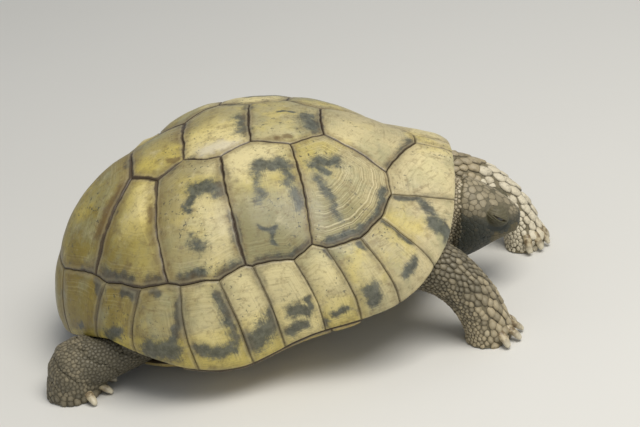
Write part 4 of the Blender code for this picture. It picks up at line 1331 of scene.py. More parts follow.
@dataclass
class Skin:
    """One closed skin for head, jaw, neck, trunk, legs and tail."""

    body: Body
    voxel: float = 1.0
    swell: float = 0.55
    eye_swell: float = 0.1
    thinning: float = 0.95
    smoothings: int = 14
    weld: float = 0.01
    plastron_gap: float = 0.8
    full_drop: float = 4.0
    no_drop: float = 9.0
    drop_smoothings: int = 6
    lid_span: float = 8.5
    lid_blend: float = 0.5
    groove_depth: float = 0.75
    groove_width: float = 0.34
    nostril_depth: float = 1.9
    nostril_radius: float = 0.95
    lid_radius: float = 4.95
    lid_length: float = 1.5
    lid_creases: tuple[tuple[float, float], ...] = ((3.1, -0.03), (2.3, -0.05), (-1.7, 0.05), (-2.6, 0.04),
                                                    (-3.5, 0.03))
    slit_length: float = 3.7
    slit_height: float = 0.62
    slit_floor: float = 3.85
    flesh: tuple[str, ...] = ("trunk", "neck", "head", "lower_jaw", "tail", "leg_front_left",
                              "leg_front_right", "leg_hind_left", "leg_hind_right")
    floor_plates: tuple[str, ...] = ("gular", "humeral", "pectoral", "abdominal", "femoral", "anal")
    mouth_corner: tuple[float, float] = (14.0, -9.0)
    mouth_front: tuple[float, float] = (36.0, -5.6)

    def build(self) -> Piece:
        """Make the skin and return it."""
        skin = self.fused()
        self.thin_trunk(skin)
        modify(skin, "SMOOTH", factor=0.5, iterations=self.smoothings)
        self.lower(skin)
        self.unwrap(skin)
        self.refine(skin)
        self.inset(skin)
        self.sculpt(skin)
        self.describe(skin)
        skin.data.materials.append(SkinFinish("skin_bare").build())
        shade_smooth(skin)
        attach(skin, "root")
        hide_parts(*self.flesh)
        return skin

    def fused(self) -> Piece:
        """Copy the solids of flesh, swell them until they touch and fuse them by a remesh."""
        copies = []
        for name in self.flesh + ("eye_left", "eye_right"):
            copy = bpy.data.objects[name].copy()
            copy.data = copy.data.copy()
            bpy.context.scene.collection.objects.link(copy)
            copy.hide_render = copy.hide_viewport = False
            copy.hide_set(False)
            with editing(copy):
                bpy.ops.mesh.remove_doubles(threshold=self.weld * MM)
            swell = self.eye_swell if name.startswith("eye") else self.swell
            modify(copy, "DISPLACE", strength=swell * MM, mid_level=0.0)
            copies.append(copy)
        choose(copies[0])
        for copy in copies:
            copy.select_set(True)
        bpy.ops.object.join()
        skin = bpy.context.active_object
        skin.name = skin.data.name = "skin"
        skin.data.materials.clear()
        modify(skin, "REMESH", mode="VOXEL", voxel_size=self.voxel * MM)
        return skin

    def thin_trunk(self, skin: Piece) -> None:
        """Leave few faces where the trunk is hidden deep in the shell."""
        hidden = self.body.hidden(coordinates(skin))
        group = skin.vertex_groups.new(name="hidden")
        group.add([int(i) for i in np.flatnonzero(hidden)], 1.0, "REPLACE")
        modify(skin, "DECIMATE", vertex_group="hidden", ratio=1.0 - float(hidden.mean()) * self.thinning)
        skin.vertex_groups.clear()

    def lower(self, skin: Piece) -> None:
        """Let the flesh down on to the plastron, so that no gap shows beside the legs."""
        corners, faces = [], []
        for obj in bpy.data.objects:
            if obj.name.startswith(self.floor_plates) and obj.type == "MESH":
                faces += [[v + len(corners) for v in face.vertices] for face in obj.data.polygons]
                corners += [obj.matrix_world @ vertex.co for vertex in obj.data.vertices]
        tree = BVHTree.FromPolygons(corners, faces)
        points = coordinates(skin)
        drop = np.zeros(len(points))
        for number in np.flatnonzero(self.body.depth(points) > 0.0):
            away = tree.ray_cast(points[number], (0.0, 0.0, -1.0), (self.no_drop + 1.0) * MM)[3]
            if away is not None:
                share = (away / MM - self.full_drop) / (self.no_drop - self.full_drop)
                drop[number] = (away - self.plastron_gap * MM) * (1.0 - ease(share))
        first, second = read(skin.data.edges, "vertices", 2, int).T
        count = np.bincount(first, minlength=len(points)) + np.bincount(second, minlength=len(points)) + 1.0
        for _ in range(self.drop_smoothings):
            total = drop + np.bincount(first, drop[second], len(points))
            drop = (total + np.bincount(second, drop[first], len(points))) / count
        points[:, 2] -= drop
        store_coordinates(skin, points)

    def unwrap(self, skin: Piece) -> None:
        """Unwrap the skin by its own shape."""
        with editing(skin):
            bpy.ops.uv.smart_project(angle_limit=math.radians(66.0), island_margin=0.002)
        skin.data.uv_layers[0].name = "OFBake"

    def refine(self, skin: Piece) -> None:
        """Give the head, the mouth's line and the eyes finer faces."""
        self.subdivide(skin, lambda local: (local[:, 0] > 2.0) & (np.abs(local[:, 1]) < 22.0)
                       & (local[:, 2] > -26.0) & (local[:, 0] < 45.0))
        head = self.body.head
        self.subdivide(skin, lambda local: (head.away(local, head.eye) < 7.5) | self.near_mouth(local, 1.6)
                       | (head.away(local, head.nostril) < 2.6))
        self.subdivide(skin, lambda local: self.near_slit(local) | (head.away(local, head.nostril) < 1.5))

    def near_slit(self, local: Array) -> Array:
        """Say which places lie in front of either eye."""
        found = np.zeros(len(local), bool)
        for side in SIDES:
            away = local - self.body.head.eye(side)
            ahead = away @ self.body.head.gaze(side)
            found |= (ahead > 1.5) & (norms(away) < 8.0) \
                & (norms(away - ahead[:, None] * self.body.head.gaze(side)) < 4.3)
        return found

    def mouth_line(self, ahead: Array) -> Array:
        """Return the height of the line of the mouth, hooked a little at the front."""
        (x0, z0), (x1, z1) = self.mouth_corner, self.mouth_front
        share = (ahead - x0) / (x1 - x0)
        return z0 + (z1 - z0) * share + 0.5 * np.sin(share * 5.0) - 1.3 * ease((ahead - 28.0) / 4.5)

    def near_mouth(self, local: Array, reach: float) -> Array:
        """Say which places lie near the line of the mouth."""
        return (local[:, 0] > 11.0) & (np.abs(local[:, 2] - self.mouth_line(local[:, 0])) < reach)

    def subdivide(self, skin: Piece, wanted: Callable[[Array], Array]) -> None:
        """Subdivide the faces whose middles lie in a wanted place of the head's frame.

        Args:
            skin: the skin.
            wanted: tells for places of the head's frame whether they are wanted.
        """
        mesh = skin.data
        pick = wanted(self.body.head.local(read(mesh.polygons, "center", 3)))
        choose(skin)
        bpy.ops.object.mode_set(mode="EDIT")
        bpy.ops.mesh.select_mode(type="FACE")
        bpy.ops.mesh.select_all(action="DESELECT")
        bpy.ops.object.mode_set(mode="OBJECT")
        mesh.polygons.foreach_set("select", pick)
        bpy.ops.object.mode_set(mode="EDIT")
        bpy.ops.mesh.subdivide(number_cuts=1, smoothness=0.0)
        bpy.ops.object.mode_set(mode="OBJECT")

    def inset(self, skin: Piece) -> None:
        """Draw the skin in by the coat's depth."""
        points = coordinates(skin)
        store_coordinates(skin, points - directions(skin) * (self.coat_depth(points) * MM)[:, None])

    def coat_depth(self, points: Array) -> Array:
        """Return how deep the skin lies inside the solids' swollen form, in millimetres."""
        which = self.body.nearest_limb(points)[0]
        front = [limb.region in (Region.FRONT_LEFT, Region.FRONT_RIGHT) for limb in LIMBS]
        depth = np.where(np.isin(which, np.flatnonzero(front)), 1.1, np.where(which == -1, 0.45, 0.85))
        return np.where(points[:, 2] / MM < 1.2, 0.35, depth)

    def sculpt(self, skin: Piece) -> None:
        """Form eyelids, mouth, nostrils, folds and wrinkles."""
        points, normals = coordinates(skin), directions(skin)
        head = self.body.head
        local = head.local(points)
        which = self.body.nearest_limb(points)[0]
        on_head = ease((local[:, 0] - 1.0) / 3.0) * (which == -1)
        moved = points + normals * (self.wrinkles(points / MM, local, which) * MM)[:, None]
        local = head.local(moved)
        turned = normals @ head.axes()
        local = local + turned * (self.mouth(local) * on_head)[:, None]
        local = self.nostrils(local, on_head)
        for side in SIDES:
            local = self.lids(local, side)
        formed = on_head > 0.0
        moved[formed] = head.world(local[formed])
        store_coordinates(skin, inside_box(moved))

    def mouth(self, local: Array) -> Array:
        """Return how far the mouth's groove and the beak's edges stand out or in."""
        over = local[:, 2] - self.mouth_line(local[:, 0])
        start = ease((local[:, 0] - 11.5) / 3.0)
        groove = -self.groove_depth * np.exp(-(over / self.groove_width) ** 2)
        lip = 0.34 * np.exp(-((over - 1.1) / 1.0) ** 2) - 0.30 * np.exp(-((over + 1.3) / 1.5) ** 2)
        return (groove + lip * ease((local[:, 0] - 14.0) / 6.0)) * start

    def nostrils(self, local: Array, on_head: Array) -> Array:
        """Press two nostrils into the tip of the snout."""
        for side in SIDES:
            reach = norms(local - self.body.head.nostril(side))
            press = self.nostril_depth * np.exp(-(reach / self.nostril_radius) ** 4) * on_head
            local = local - np.array([0.8, side * 0.6, 0.0]) * press[:, None]
        return local

    def lids(self, local: Array, side: float) -> Array:
        """Raise the lids round one eye and open a narrow slit between them.

        Args:
            local: the skin's points in the head's frame.
            side: 1 for the left eye, -1 for the right.

        Returns:
            The points with the lids formed.
        """
        centre, gaze = self.body.head.eye(side), self.body.head.gaze(side)
        away = local - centre
        reach = norms(away)
        near = reach < self.lid_span
        way = away / np.maximum(reach, 1e-6)[:, None]
        facing = way @ gaze
        ahead = np.array([0.95, 0.0, -0.30])
        ahead = ahead - gaze * (ahead @ gaze)
        ahead /= np.linalg.norm(ahead)
        above = np.cross(gaze, ahead) * (1.0 if np.cross(gaze, ahead)[2] > 0 else -1.0)
        u, v = way @ ahead * 5.0, way @ above * 5.0
        cover = ease((facing + 0.40) / 0.40)
        lid = self.lid_radius + self.lid_length * (way @ ahead) ** 2
        lid = lid + 0.30 * np.exp(-((v - 1.6) / 1.1) ** 2) * ease((3.9 - np.abs(u)) / 1.0)
        for level, bend in self.lid_creases:
            lid = lid - 0.22 * np.exp(-((v - level - bend * u * u) / 0.26) ** 2)
        lifted = self.lid_blend * np.logaddexp(reach / self.lid_blend, lid / self.lid_blend)
        target = reach + (lifted - reach) * cover
        width = np.clip(1.0 - (u / self.slit_length) ** 2, 0.0, 1.0)
        middle = -0.25 + 0.35 * (u / self.slit_length) ** 2
        inside = self.slit_height * width - np.abs(v - middle)
        open_part = ease(inside / 0.28 + 0.5) * (facing > 0.2) * (width > 0.02)
        rim = 0.22 * np.exp(-((inside + 0.35) / 0.30) ** 2) * (facing > 0.2) * ease(width / 0.1)
        target = (target + rim) * (1.0 - open_part) + self.slit_floor * open_part
        return np.where(near[:, None], centre + way * target[:, None], local)

    def wrinkles(self, points: Array, local: Array, which: Array) -> Array:
        """Return the height of folds and wrinkles in millimetres.

        Args:
            points: the skin's points in millimetres.
            local: the same points in the head's frame.
            which: the numbers of their limbs.

        Returns:
            The height at each point.
        """
        x, _, z = points.T
        broad = layered_waves(points, 0.16, 3)
        height = 0.10 * layered_waves(points, 0.55, 5) + 0.22 * broad
        folds = np.sin(local[:, 0] * 1.15 + 1.2 * np.sin(local[:, 1] * 0.16) + 1.1 * broad)
        height += 0.42 * folds * (which == 0)
        jowl = (which == -1) * ease((9.0 - local[:, 0]) / 8.0) * ease((-local[:, 2]) / 8.0)
        height += 0.26 * np.sin(local[:, 0] * 1.7 + 0.25 * local[:, 2] + broad) * jowl
        crease = np.abs(np.sin(0.16 * x + 0.21 * z + 0.5 * broad))
        height -= 1.0 * np.exp(-(crease / 0.13) ** 2) * np.isin(which, (4, 5)) * ease((z - 6.0) / 5.0)
        height *= np.where(which == -1, 0.35 + 0.65 * ease((8.0 - local[:, 0]) / 6.0), 1.0)
        return height * ease((z - 0.8) / 2.0)

    def describe(self, skin: Piece) -> None:
        """Store the body's markings on the skin for its material."""
        for name, values in markings(self.body, coordinates(skin)).items():
            set_attribute(skin, name, values)


def layered_waves(points: Array, scale: float, layers: int) -> Array:
    """Return a smooth random field made of turned sine waves, about -1 to 1.

    Args:
        points: points in millimetres.
        scale: how many turns the widest waves make in a millimetre.
        layers: how many finer and finer layers there are.

    Returns:
        The field's values.
    """
    total, weight = np.zeros(len(points)), 0.0
    rng = random.Random(layers * 17 + int(scale * 100))
    for layer in range(layers):
        field_here = np.ones(len(points))
        for _ in range(3):
            way = np.array([rng.gauss(0, 1) for _ in range(3)])
            way *= scale * (1.7 ** layer) / np.linalg.norm(way)
            field_here = field_here * np.sin(points @ way * 2.2 + rng.uniform(0, 6.28))
        total += field_here * 0.6 ** layer * 2.0
        weight += 0.6 ** layer
    return total / weight


def markings(body: Body, points: Array) -> dict[str, Array]:
    """Return the values that skin and scales share: pale, horn and slate, each 0 to 1; pale and slate also
    carry painted light and shade.

    Args:
        body: tells the parts of the body.
        points: points in metres.

    Returns:
        The values by the names of their attributes.
    """
    which, along, _ = body.nearest_limb(points)
    local = body.head.local(points)
    x, _, z = (points / MM).T
    # nape: the neck next to the head and below its middle, made darker and slate as painted shade under the
    # jaw
    nape = ease((local[:, 0] + 4.0) / 4.0) * ease((4.0 - local[:, 2]) / 8.0)
    pale = np.full(len(points), 0.25)
    for number, limb in enumerate(LIMBS):
        here = which == number
        # The left foreleg is much paler than the right: partly its pale front scales, partly painted
        # sunlight on the left and painted shade on the right.
        if limb.region is Region.FRONT_LEFT:
            pale = np.where(here, 0.22 + 1.05 * ease((along - 0.18) / 0.45), pale)
        elif limb.region is Region.FRONT_RIGHT:
            pale = np.where(here, 0.06 + 0.55 * ease((along - 0.35) / 0.6), pale)
        elif limb.region in (Region.HIND_LEFT, Region.HIND_RIGHT):
            heel = ease((9.0 - z) / 9.0) + ease((-105.0 - x) / 10.0)
            pale = np.where(here, 0.05 + 0.32 * np.clip(heel, 0.0, 1.0), pale)
        elif limb.region is Region.NECK:
            pale = np.where(here, 0.74 - 0.35 * nape, pale)
    mottle = 0.16 * layered_waves(points / MM, 0.45, 4)
    # On the head the top is paler and the sides slate: partly its own colouring, partly painted sunlight on
    # the top and painted shade on the cheeks.
    top = ease((local[:, 2] + 4.0 + 16.0 * mottle) / 11.0)
    head = which == -1
    pale = np.where(head, 0.10 + 0.62 * top, pale)
    slate = np.where(np.isin(which, (4, 5)), 0.38, np.where(which == 0, 0.12 + 0.40 * nape, 0.12))
    slate = np.where(head, np.clip(0.40 + mottle + 0.66 * (1.0 - top), 0.0, 1.0), slate)
    upper = ease((local[:, 0] - 24.0) / 5.0) * ease((0.6 - local[:, 2]) / 2.0)
    lower = ease((local[:, 0] - 16.0) / 5.0) * ease((-4.0 - local[:, 2]) / 2.0)
    beak = np.where(head, np.maximum(upper, lower), 0.0)
    lids = np.zeros(len(points))
    for side in SIDES:
        near = ease((3.2 - norms(local - body.head.nostril(side))) / 1.8) * head
        pale, slate, beak = pale * (1.0 - near), np.maximum(slate, near), beak * (1.0 - near)
        away = local - body.head.eye(side)
        crease = 0.68 + 0.32 * np.sin(away[:, 2] * 5.2 - 0.16 * away[:, 0] ** 2 + 0.8 * mottle)
        away = norms(away * np.array([0.86, 1.0, 1.15]))
        lids = np.maximum(lids, ease((6.9 - away) / 1.6) * crease)
    return {"pale": pale, "slate": slate, "beak": beak, "lids": np.where(head, lids, 0.0)}


@dataclass(frozen=True)
class SkinFinish:
    """Dry reptile skin: grey brown, paler where the markings say so, with fine folds; the markings include
    painted light and shade.
    """

    name: str
    dark: Colour = (62, 56, 44)
    brown: Colour = (112, 103, 80)
    tan: Colour = (168, 156, 122)
    # slate; on the head's sides it is darker than the skin's own colour, as painted shade
    slate: Colour = (46, 51, 46)
    horn: Colour = (112, 100, 70)
    lid: Colour = (86, 82, 58)

    def build(self) -> Material:
        """Make the material."""
        p = Paint(self.name)
        broad, fine = p.noise(70.0, 4.0, 0.6), p.noise(700.0, 5.0, 0.6)
        level = p.math("MULTIPLY_ADD", broad, 0.3, p.attribute("pale"))
        base = p.mix(p.ease(level, 0.2, 1.0, 0.0, 0.35), self.brown, self.tan)
        base = p.mix(p.attribute("slate"), base, self.slate)
        base = p.mix(p.ease(fine, 0.45, 0.70, 0.0, 0.5), base, self.dark)
        base = p.mix(p.times(p.attribute("lids"), 0.85), base, self.lid)
        streak = p.noise(1.0, 3.0, 0.6, vector=p.stretch((1100.0, 1100.0, 150.0)))
        horn = p.mix(p.ease(streak, 0.40, 0.64), self.horn, self.lid)
        base = p.mix(p.times(p.attribute("beak"), 0.85), base, horn)
        height = p.math("MULTIPLY_ADD", p.cells(900.0), 0.6, p.times(fine, 0.8))
        return p.finish(base, p.math("MULTIPLY_ADD", fine, 0.25, 0.55), p.bump(height, 0.6, 0.12))


@dataclass(frozen=True)
class ScaleFinish:
    """Horny scales: brown to tan, each with its own tone, a painted highlight on top and painted shade at
    its edge.
    """

    name: str
    brown: Colour = (98, 90, 70)
    tan: Colour = (184, 169, 136)
    cream_and_highlight: Colour = (226, 216, 190)
    # slate; on the head's sides it is darker than the scales' own colour, as painted shade
    slate: Colour = (48, 53, 47)
    edge: Colour = (46, 39, 30)

    def build(self) -> Material:
        """Make the material."""
        p = Paint(self.name)
        tone, rise = p.attribute("tone"), p.attribute("rise")
        fine = p.noise(900.0, 5.0, 0.6)
        # little of each scale's tone, rim shade and highlight shows where slate is strong, in the painted
        # shade of the head's sides
        bare = p.ease(p.attribute("slate"), 0.75, 0.12)
        level = p.math("MULTIPLY_ADD", p.times(tone, bare), 0.5, p.attribute("pale"))
        base = p.mix(p.ease(level, 0.25, 1.0), self.brown, self.tan)
        base = p.mix(p.ease(level, 0.9, 1.45), base, self.cream_and_highlight)
        base = p.mix(p.times(p.attribute("slate"), 0.9), base, self.slate)
        base = p.mix(p.ease(fine, 0.5, 0.75, 0.0, 0.4), base, self.edge)
        base = p.mix(p.ease(p.noise(260.0, 4.0, 0.65), 0.52, 0.68, 0.0, 0.45), base, self.brown)
        # painted shade round each scale's rim and a painted highlight on its top
        base = p.mix(p.times(p.ease(rise, 0.55, 0.1, 0.0, 0.75), bare), base, self.edge)
        base = p.mix(p.times(p.ease(rise, 0.75, 1.0, 0.0, 0.18), bare), base, self.cream_and_highlight)
        rough = p.math("MULTIPLY_ADD", fine, 0.25, 0.42)
        return p.finish(base, rough, p.bump(p.noise(1600.0, 3.0), 0.3, 0.05))


@dataclass
class Coat:
    """The mesh scales over the skin, one closed scale round each root."""

    body: Body
    skin: Piece
    sides: int = 12
    crowding: float = 0.86
    deepest: float = 23.5
    eye_reach: float = 6.4
    lid_reach: float = 7.3
    most_uneven: float = 0.8
    roundness: float = 9.0
    widest: float = 0.74
    patch_radius: float = 0.0015
    seed: int = 7

    def build(self) -> list[Piece]:
        """Make the scales of every region and return the pieces."""
        mesh = self.skin.data
        mesh.calc_loop_triangles()
        self.corners = read(mesh.loop_triangles, "vertices", 3, int)
        self.loops = read(mesh.loop_triangles, "loops", 3, int)
        self.uvs = read(mesh.uv_layers["OFBake"].data, "uv", 2)
        self.points, self.normals = coordinates(self.skin) / MM, directions(self.skin)
        self.tree = BVHTree.FromPolygons(self.points.tolist(), self.corners.tolist())
        self.which, self.along, self.run = self.body.nearest_limb(self.points * MM)
        self.spacing, self.height, self.lap, self.wanted = self.plan()
        return self.cover(self.relax(self.scatter()))

    def plan(self) -> tuple[Array, Array, Array, Array]:
        """Return, for each point of the skin, the scales' spacing, height, overlap and whether any grow."""
        local = self.body.head.local(self.points * MM)
        count, z = len(self.points), self.points[:, 2]
        spacing, height, lap = np.full(count, 1.8), np.full(count, 0.40), np.full(count, 0.10)
        for number, limb in enumerate(LIMBS):
            facing = self.normals @ np.array([0.80, -0.25 if "right" in limb.region.value else 0.25, 0.54])
            front = ease((facing + 0.10) / 0.8)
            if limb.region is Region.FRONT_LEFT:
                size = 1.9 + 4.2 * front * ease((self.along - 0.12) / 0.35)
                tall, over = 0.24 * size ** 0.9, 0.15 + 0.22 * front
            elif limb.region is Region.FRONT_RIGHT:
                size = 1.8 + (1.0 + 1.6 * ease((self.along - 0.45) / 0.4)) * front
                tall, over = 0.26 * size ** 0.9, 0.12 + 0.22 * front
            elif limb.region in (Region.HIND_LEFT, Region.HIND_RIGHT):
                heel = ease((10.0 - z) / 9.0)
                size = 1.8 + 1.6 * heel
                tall, over = (0.12 + 0.09 * heel) * size, 0.12
            elif limb.region is Region.NECK:
                size, tall, over = 1.5, 0.32, 0.05
            else:
                continue
            here = self.which == number
            spacing, height = np.where(here, size, spacing), np.where(here, tall, height)
            lap = np.where(here, over, lap)
        spacing = spacing * (1.0 + 0.20 * layered_waves(self.points, 0.5, 2))
        head = self.which == -1
        top = ease((local[:, 2] - 3.0) / 5.0)
        size = 2.1 + (0.9 + 1.8 * ease((local[:, 0] - 11.0) / 8.0)) * top
        size = size - (size - 1.5) * ease((local[:, 0] - 24.0) / 5.0)
        spacing, height = np.where(head, size, spacing), np.where(head, 0.10, height)
        marks = markings(self.body, self.points * MM)
        bare = (marks["beak"] > 0.4) | (local[:, 0] > 32.0)
        bare |= self.body.head.away(local, self.body.head.eye) < self.eye_reach
        wanted = (self.body.depth(self.points * MM) < self.deepest) & (z > 1.0) & ~(head & bare)
        return spacing, height, np.where(head, 0.0, lap), wanted & ~self.near_claws()

    def turns(self) -> Array:
        """Return the angles of the points round a scale."""
        return np.linspace(0.0, 2.0 * math.pi, self.sides, endpoint=False)

    def near_claws(self) -> Array:
        """Say which points of the skin lie in a claw."""
        inside = np.zeros(len(self.points), bool)
        for base, run, length, width in claw_places(self.body.form):
            away = self.points - base
            share = np.clip(away @ run, 0.0, length)
            beside = norms(away - share[:, None] * run) < width * 0.62
            inside |= beside & (away @ run > 1.0)
        return inside

    def scatter(self) -> Array:
        """Return roots thrown over the skin, none nearer to another than their spacing allows."""
        rng = np.random.default_rng(self.seed)
        a, b, c = (self.points[self.corners[:, i]] for i in range(3))
        area = norms(np.cross(b - a, c - a)) * 0.5
        size = self.spacing[self.corners].mean(1)
        wanted = self.wanted[self.corners].all(1)
        weight = np.where(wanted, area / size ** 2, 0.0)
        count = int(weight.sum() * 9.0)
        pick = rng.choice(len(weight), count, p=weight / weight.sum())
        s, t = rng.random(count), rng.random(count)
        s, t = np.where(s + t > 1, 1 - s, s), np.where(s + t > 1, 1 - t, t)
        thrown = a[pick] + (b - a)[pick] * s[:, None] + (c - a)[pick] * t[:, None]
        room = size[pick] * self.crowding
        tree = KDTree(count)
        for number, point in enumerate(thrown.tolist()):
            tree.insert(point, number)
        tree.balance()
        free, kept = np.ones(count, bool), []
        for number in range(count):
            if free[number]:
                kept.append(number)
                for _, other, _ in tree.find_range(thrown[number], room[number]):
                    free[other] = False
        return thrown[kept]

    def nearest(self, roots: Array) -> Array:
        """Return the number of the skin's point nearest to each root."""
        if not hasattr(self, "point_tree"):
            self.point_tree = KDTree(len(self.points))
            for number, point in enumerate(self.points.tolist()):
                self.point_tree.insert(point, number)
            self.point_tree.balance()
        return np.array([self.point_tree.find(root)[1] for root in roots])

    @staticmethod
    def neighbours(roots: Array, count: int) -> Array:
        """Return the numbers of each root's nearest neighbours."""
        tree = KDTree(len(roots))
        for number, root in enumerate(roots.tolist()):
            tree.insert(root, number)
        tree.balance()
        return np.array([[other for _, other, _ in tree.find_n(root, count + 1)][1:] for root in roots])

    def relax(self, roots: Array) -> Array:
        """Even out the roots by pushing close ones apart along the skin.

        Args:
            roots: the middles of the scales.

        Returns:
            The roots, each back on the skin.
        """
        for _ in range(4):
            room = self.spacing[self.nearest(roots)]
            away = roots[:, None] - roots[self.neighbours(roots, 6)]
            gap = np.linalg.norm(away, axis=2, keepdims=True)
            push = np.clip(1.0 - gap / room[:, None, None], 0.0, 1.0) * away / np.maximum(gap, 1e-6)
            roots = roots + push.sum(1) * room[:, None] * 0.35
            roots = np.array([self.tree.find_nearest(root)[0] for root in roots])
        return roots

    def cover(self, roots: Array) -> list[Piece]:
        """Build a scale round every root and join them by region.

        Args:
            roots: the middles of the scales, in millimetres.

        Returns:
            The pieces.
        """
        close = self.nearest(roots)
        keep = self.wanted[close]
        roots, close = roots[keep], close[keep]
        normal, room, tall = self.normals[close], self.spacing[close], self.height[close]
        lap, run = self.lap[close], self.run[close]
        ahead = unit(run - normal * (run * normal).sum(1, keepdims=True))
        across = np.cross(normal, ahead)
        away = roots[self.neighbours(roots, 12)] - roots[:, None]
        x, y = (away * ahead[:, None]).sum(2), (away * across[:, None]).sum(2)
        gap = np.hypot(x, y)
        half = np.maximum(gap * 0.5, 0.15)
        turn = self.turns()
        facing = x[:, :, None] * np.cos(turn) + y[:, :, None] * np.sin(turn)
        facing = facing / np.maximum(gap, 1e-6)[..., None]
        press = (np.maximum(facing, 0.0) / half[..., None]) ** self.roundness
        reach = np.minimum((press.sum(1) + 1e-12) ** (-1.0 / self.roundness), room[:, None] * self.widest)
        rng = np.random.default_rng(self.seed + 1)
        tone = rng.random(len(roots))
        on_head = self.which[close] == -1
        flat = on_head.astype(float)[:, None]
        tilt, rings, lifts = 1.6 * lap[:, None] * np.cos(turn), [], []
        for share, rise in ((0.55 + 0.27 * flat, 1.0), (0.95, 0.42 + 0.33 * flat), (0.99, None)):
            px, py = reach * np.cos(turn) * share, reach * np.sin(turn) * share
            px = px + (lap * room)[:, None] * (0.5 + 0.5 * np.cos(turn))
            rings.append(roots[:, None] + ahead[:, None] * px[..., None] + across[:, None] * py[..., None])
            lifts.append(tall[:, None] * (np.full_like(tilt, -0.35) if rise is None
                                          else rise * (1.0 + tilt * share)))
        settled, slopes = self.settle(np.concatenate(rings).reshape(-1, 3))
        slopes = unit(slopes + np.concatenate([np.repeat(normal, self.sides, 0)] * 3))
        placed = settled + slopes * np.concatenate(lifts).reshape(-1, 1)
        placed = placed.reshape(3, len(roots), self.sides, 3)
        rise = ((placed[0] - roots[:, None]) * normal[:, None]).sum(2)
        head = self.body.head
        by_lid = head.away(head.local(roots * MM), head.eye) < self.lid_reach
        even = ~on_head | ((np.ptp(rise, axis=1) < self.most_uneven) & ~by_lid)
        domes = roots + normal * np.maximum(tall * 1.12, rise.mean(1) + tall * 0.12)[:, None]
        values = {"tone": tone, **markings(self.body, roots * MM)}
        root_uv, made = self.root_uv(roots), []
        for region in Region:
            number = next((i for i, limb in enumerate(LIMBS) if limb.region is region), -1)
            chosen = np.flatnonzero((self.which[close] == number) & even)
            if len(chosen):
                block = np.concatenate([domes[chosen][:, None], *(ring[chosen] for ring in placed)], 1)
                made.append(self.piece(region, block, root_uv[chosen],
                                       {name: value[chosen] for name, value in values.items()}))
        return made

    def settle(self, spots: Array) -> tuple[Array, Array]:
        """Return the nearest places on the skin and the skin's directions there."""
        found = [self.tree.find_nearest(spot)[:2] for spot in spots.tolist()]
        return np.array([place for place, _ in found]), np.array([way for _, way in found])

    def root_uv(self, roots: Array) -> Array:
        """Return each root's place on the skin's unwrap."""
        made = np.empty((len(roots), 2))
        for number, root in enumerate(roots.tolist()):
            face = self.tree.find_nearest(root)[2]
            corners = self.points[self.corners[face]]
            away = norms(corners - np.array(root)) + 1e-6
            made[number] = (self.uvs[self.loops[face]] / away[:, None]).sum(0) / (1.0 / away).sum()
        return made

    def piece(self, region: Region, block: Array, root_uv: Array, values: dict[str, Array]) -> Piece:
        """Join the scales of one region into a piece.

        Args:
            region: the region.
            block: for each scale its top and the points of its three rings.
            root_uv: the roots' places on the skin's unwrap.
            values: each scale's own tone and the body's markings at its root.

        Returns:
            The piece.
        """
        n, (total, each) = self.sides, block.shape[:2]
        pattern = [(0, 1 + i, 1 + (i + 1) % n) for i in range(n)]
        for ring in (0, 1):
            a, b = 1 + ring * n, 1 + (ring + 1) * n
            pattern += [(a + i, b + i, b + (i + 1) % n, a + (i + 1) % n) for i in range(n)]
        pattern.append(tuple(1 + 2 * n + i for i in range(n))[::-1])
        faces = [tuple(corner + each * k for corner in face) for k in range(total) for face in pattern]
        made = mesh_object(f"scales_{region.value}", block.reshape(-1, 3) * MM, faces)
        # rise runs from 1 at a scale's top to 0 underneath, for its painted highlight and rim shade
        rise = np.concatenate([[1.0], np.full(n, 0.8), np.full(n, 0.25), np.zeros(n)])
        set_attribute(made, "rise", np.tile(rise, total))
        for name, value in values.items():
            set_attribute(made, name, np.repeat(value, each))
        share = np.concatenate([[0.0], np.full(n, 0.5), np.full(n, 0.8), np.full(n, 1.0)])
        spin = np.concatenate([[0.0], np.tile(self.turns(), 3)])
        patch = np.stack([np.cos(spin), np.sin(spin)], -1) * share[:, None] * self.patch_radius
        vertex_uv = (root_uv[:, None] + patch[None]).reshape(-1, 2)
        layer = made.data.uv_layers.new(name="OFBake")
        loops = read(made.data.loops, "vertex_index", 1, int)[:, 0]
        layer.data.foreach_set("uv", vertex_uv[loops].ravel())
        shade_smooth(made)
        made.data.materials.append(bpy.data.materials.get("scale_horn") or ScaleFinish("scale_horn").build())
        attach(made, "root")
        return made


def claw_places(form: ShellForm) -> list[tuple[Array, Array, float, float]]:
    """Return every claw's and spur's root, direction, length and width, in millimetres."""
    length, width = 9.5, 4.4
    found = []
    for limb in LIMBS:
        foot = np.array([limb.line[-1][0] + form.shift(), limb.line[-1][1], 0.0])
        for heading, drop in limb.claws:
            turn, fall = math.radians(heading), math.radians(drop)
            out = np.array([math.cos(turn), math.sin(turn), 0.0])
            height = max(5.0, length * math.sin(fall) + width * 0.6)
            base = foot + out * limb.foot_radius * 0.88 + np.array([0.0, 0.0, height])
            found.append((base, out * math.cos(fall) - np.array([0.0, 0.0, math.sin(fall)]), length, width))
    for x, y, z, heading in ((-93.0, -42.0, 13.0, 165.0), (-76.0, 50.0, 13.0, 190.0)):
        turn, fall = math.radians(heading), math.radians(11.0)
        run = np.array([math.cos(turn) * math.cos(fall), math.sin(turn) * math.cos(fall), -math.sin(fall)])
        found.append((np.array([x + form.shift(), y, z]), run, 7.0, width))
    return found


@dataclass(frozen=True)
class ClawFinish:
    """Dull horn with streaks along the claw."""

    name: str
    horn: Colour = (184, 170, 138)
    dark: Colour = (118, 102, 76)
    tip: Colour = (216, 208, 184)

    def build(self) -> Material:
        """Make the material."""
        p = Paint(self.name)
        streak = p.noise(420.0, 4.0, 0.6)
        base = p.mix(p.ease(streak, 0.42, 0.62), self.dark, self.horn)
        base = p.mix(p.ease(p.attribute("out"), 0.35, 1.0, 0.0, 0.8), base, self.tip)
        return p.finish(base, 0.42, p.bump(streak, 0.4, 0.1))


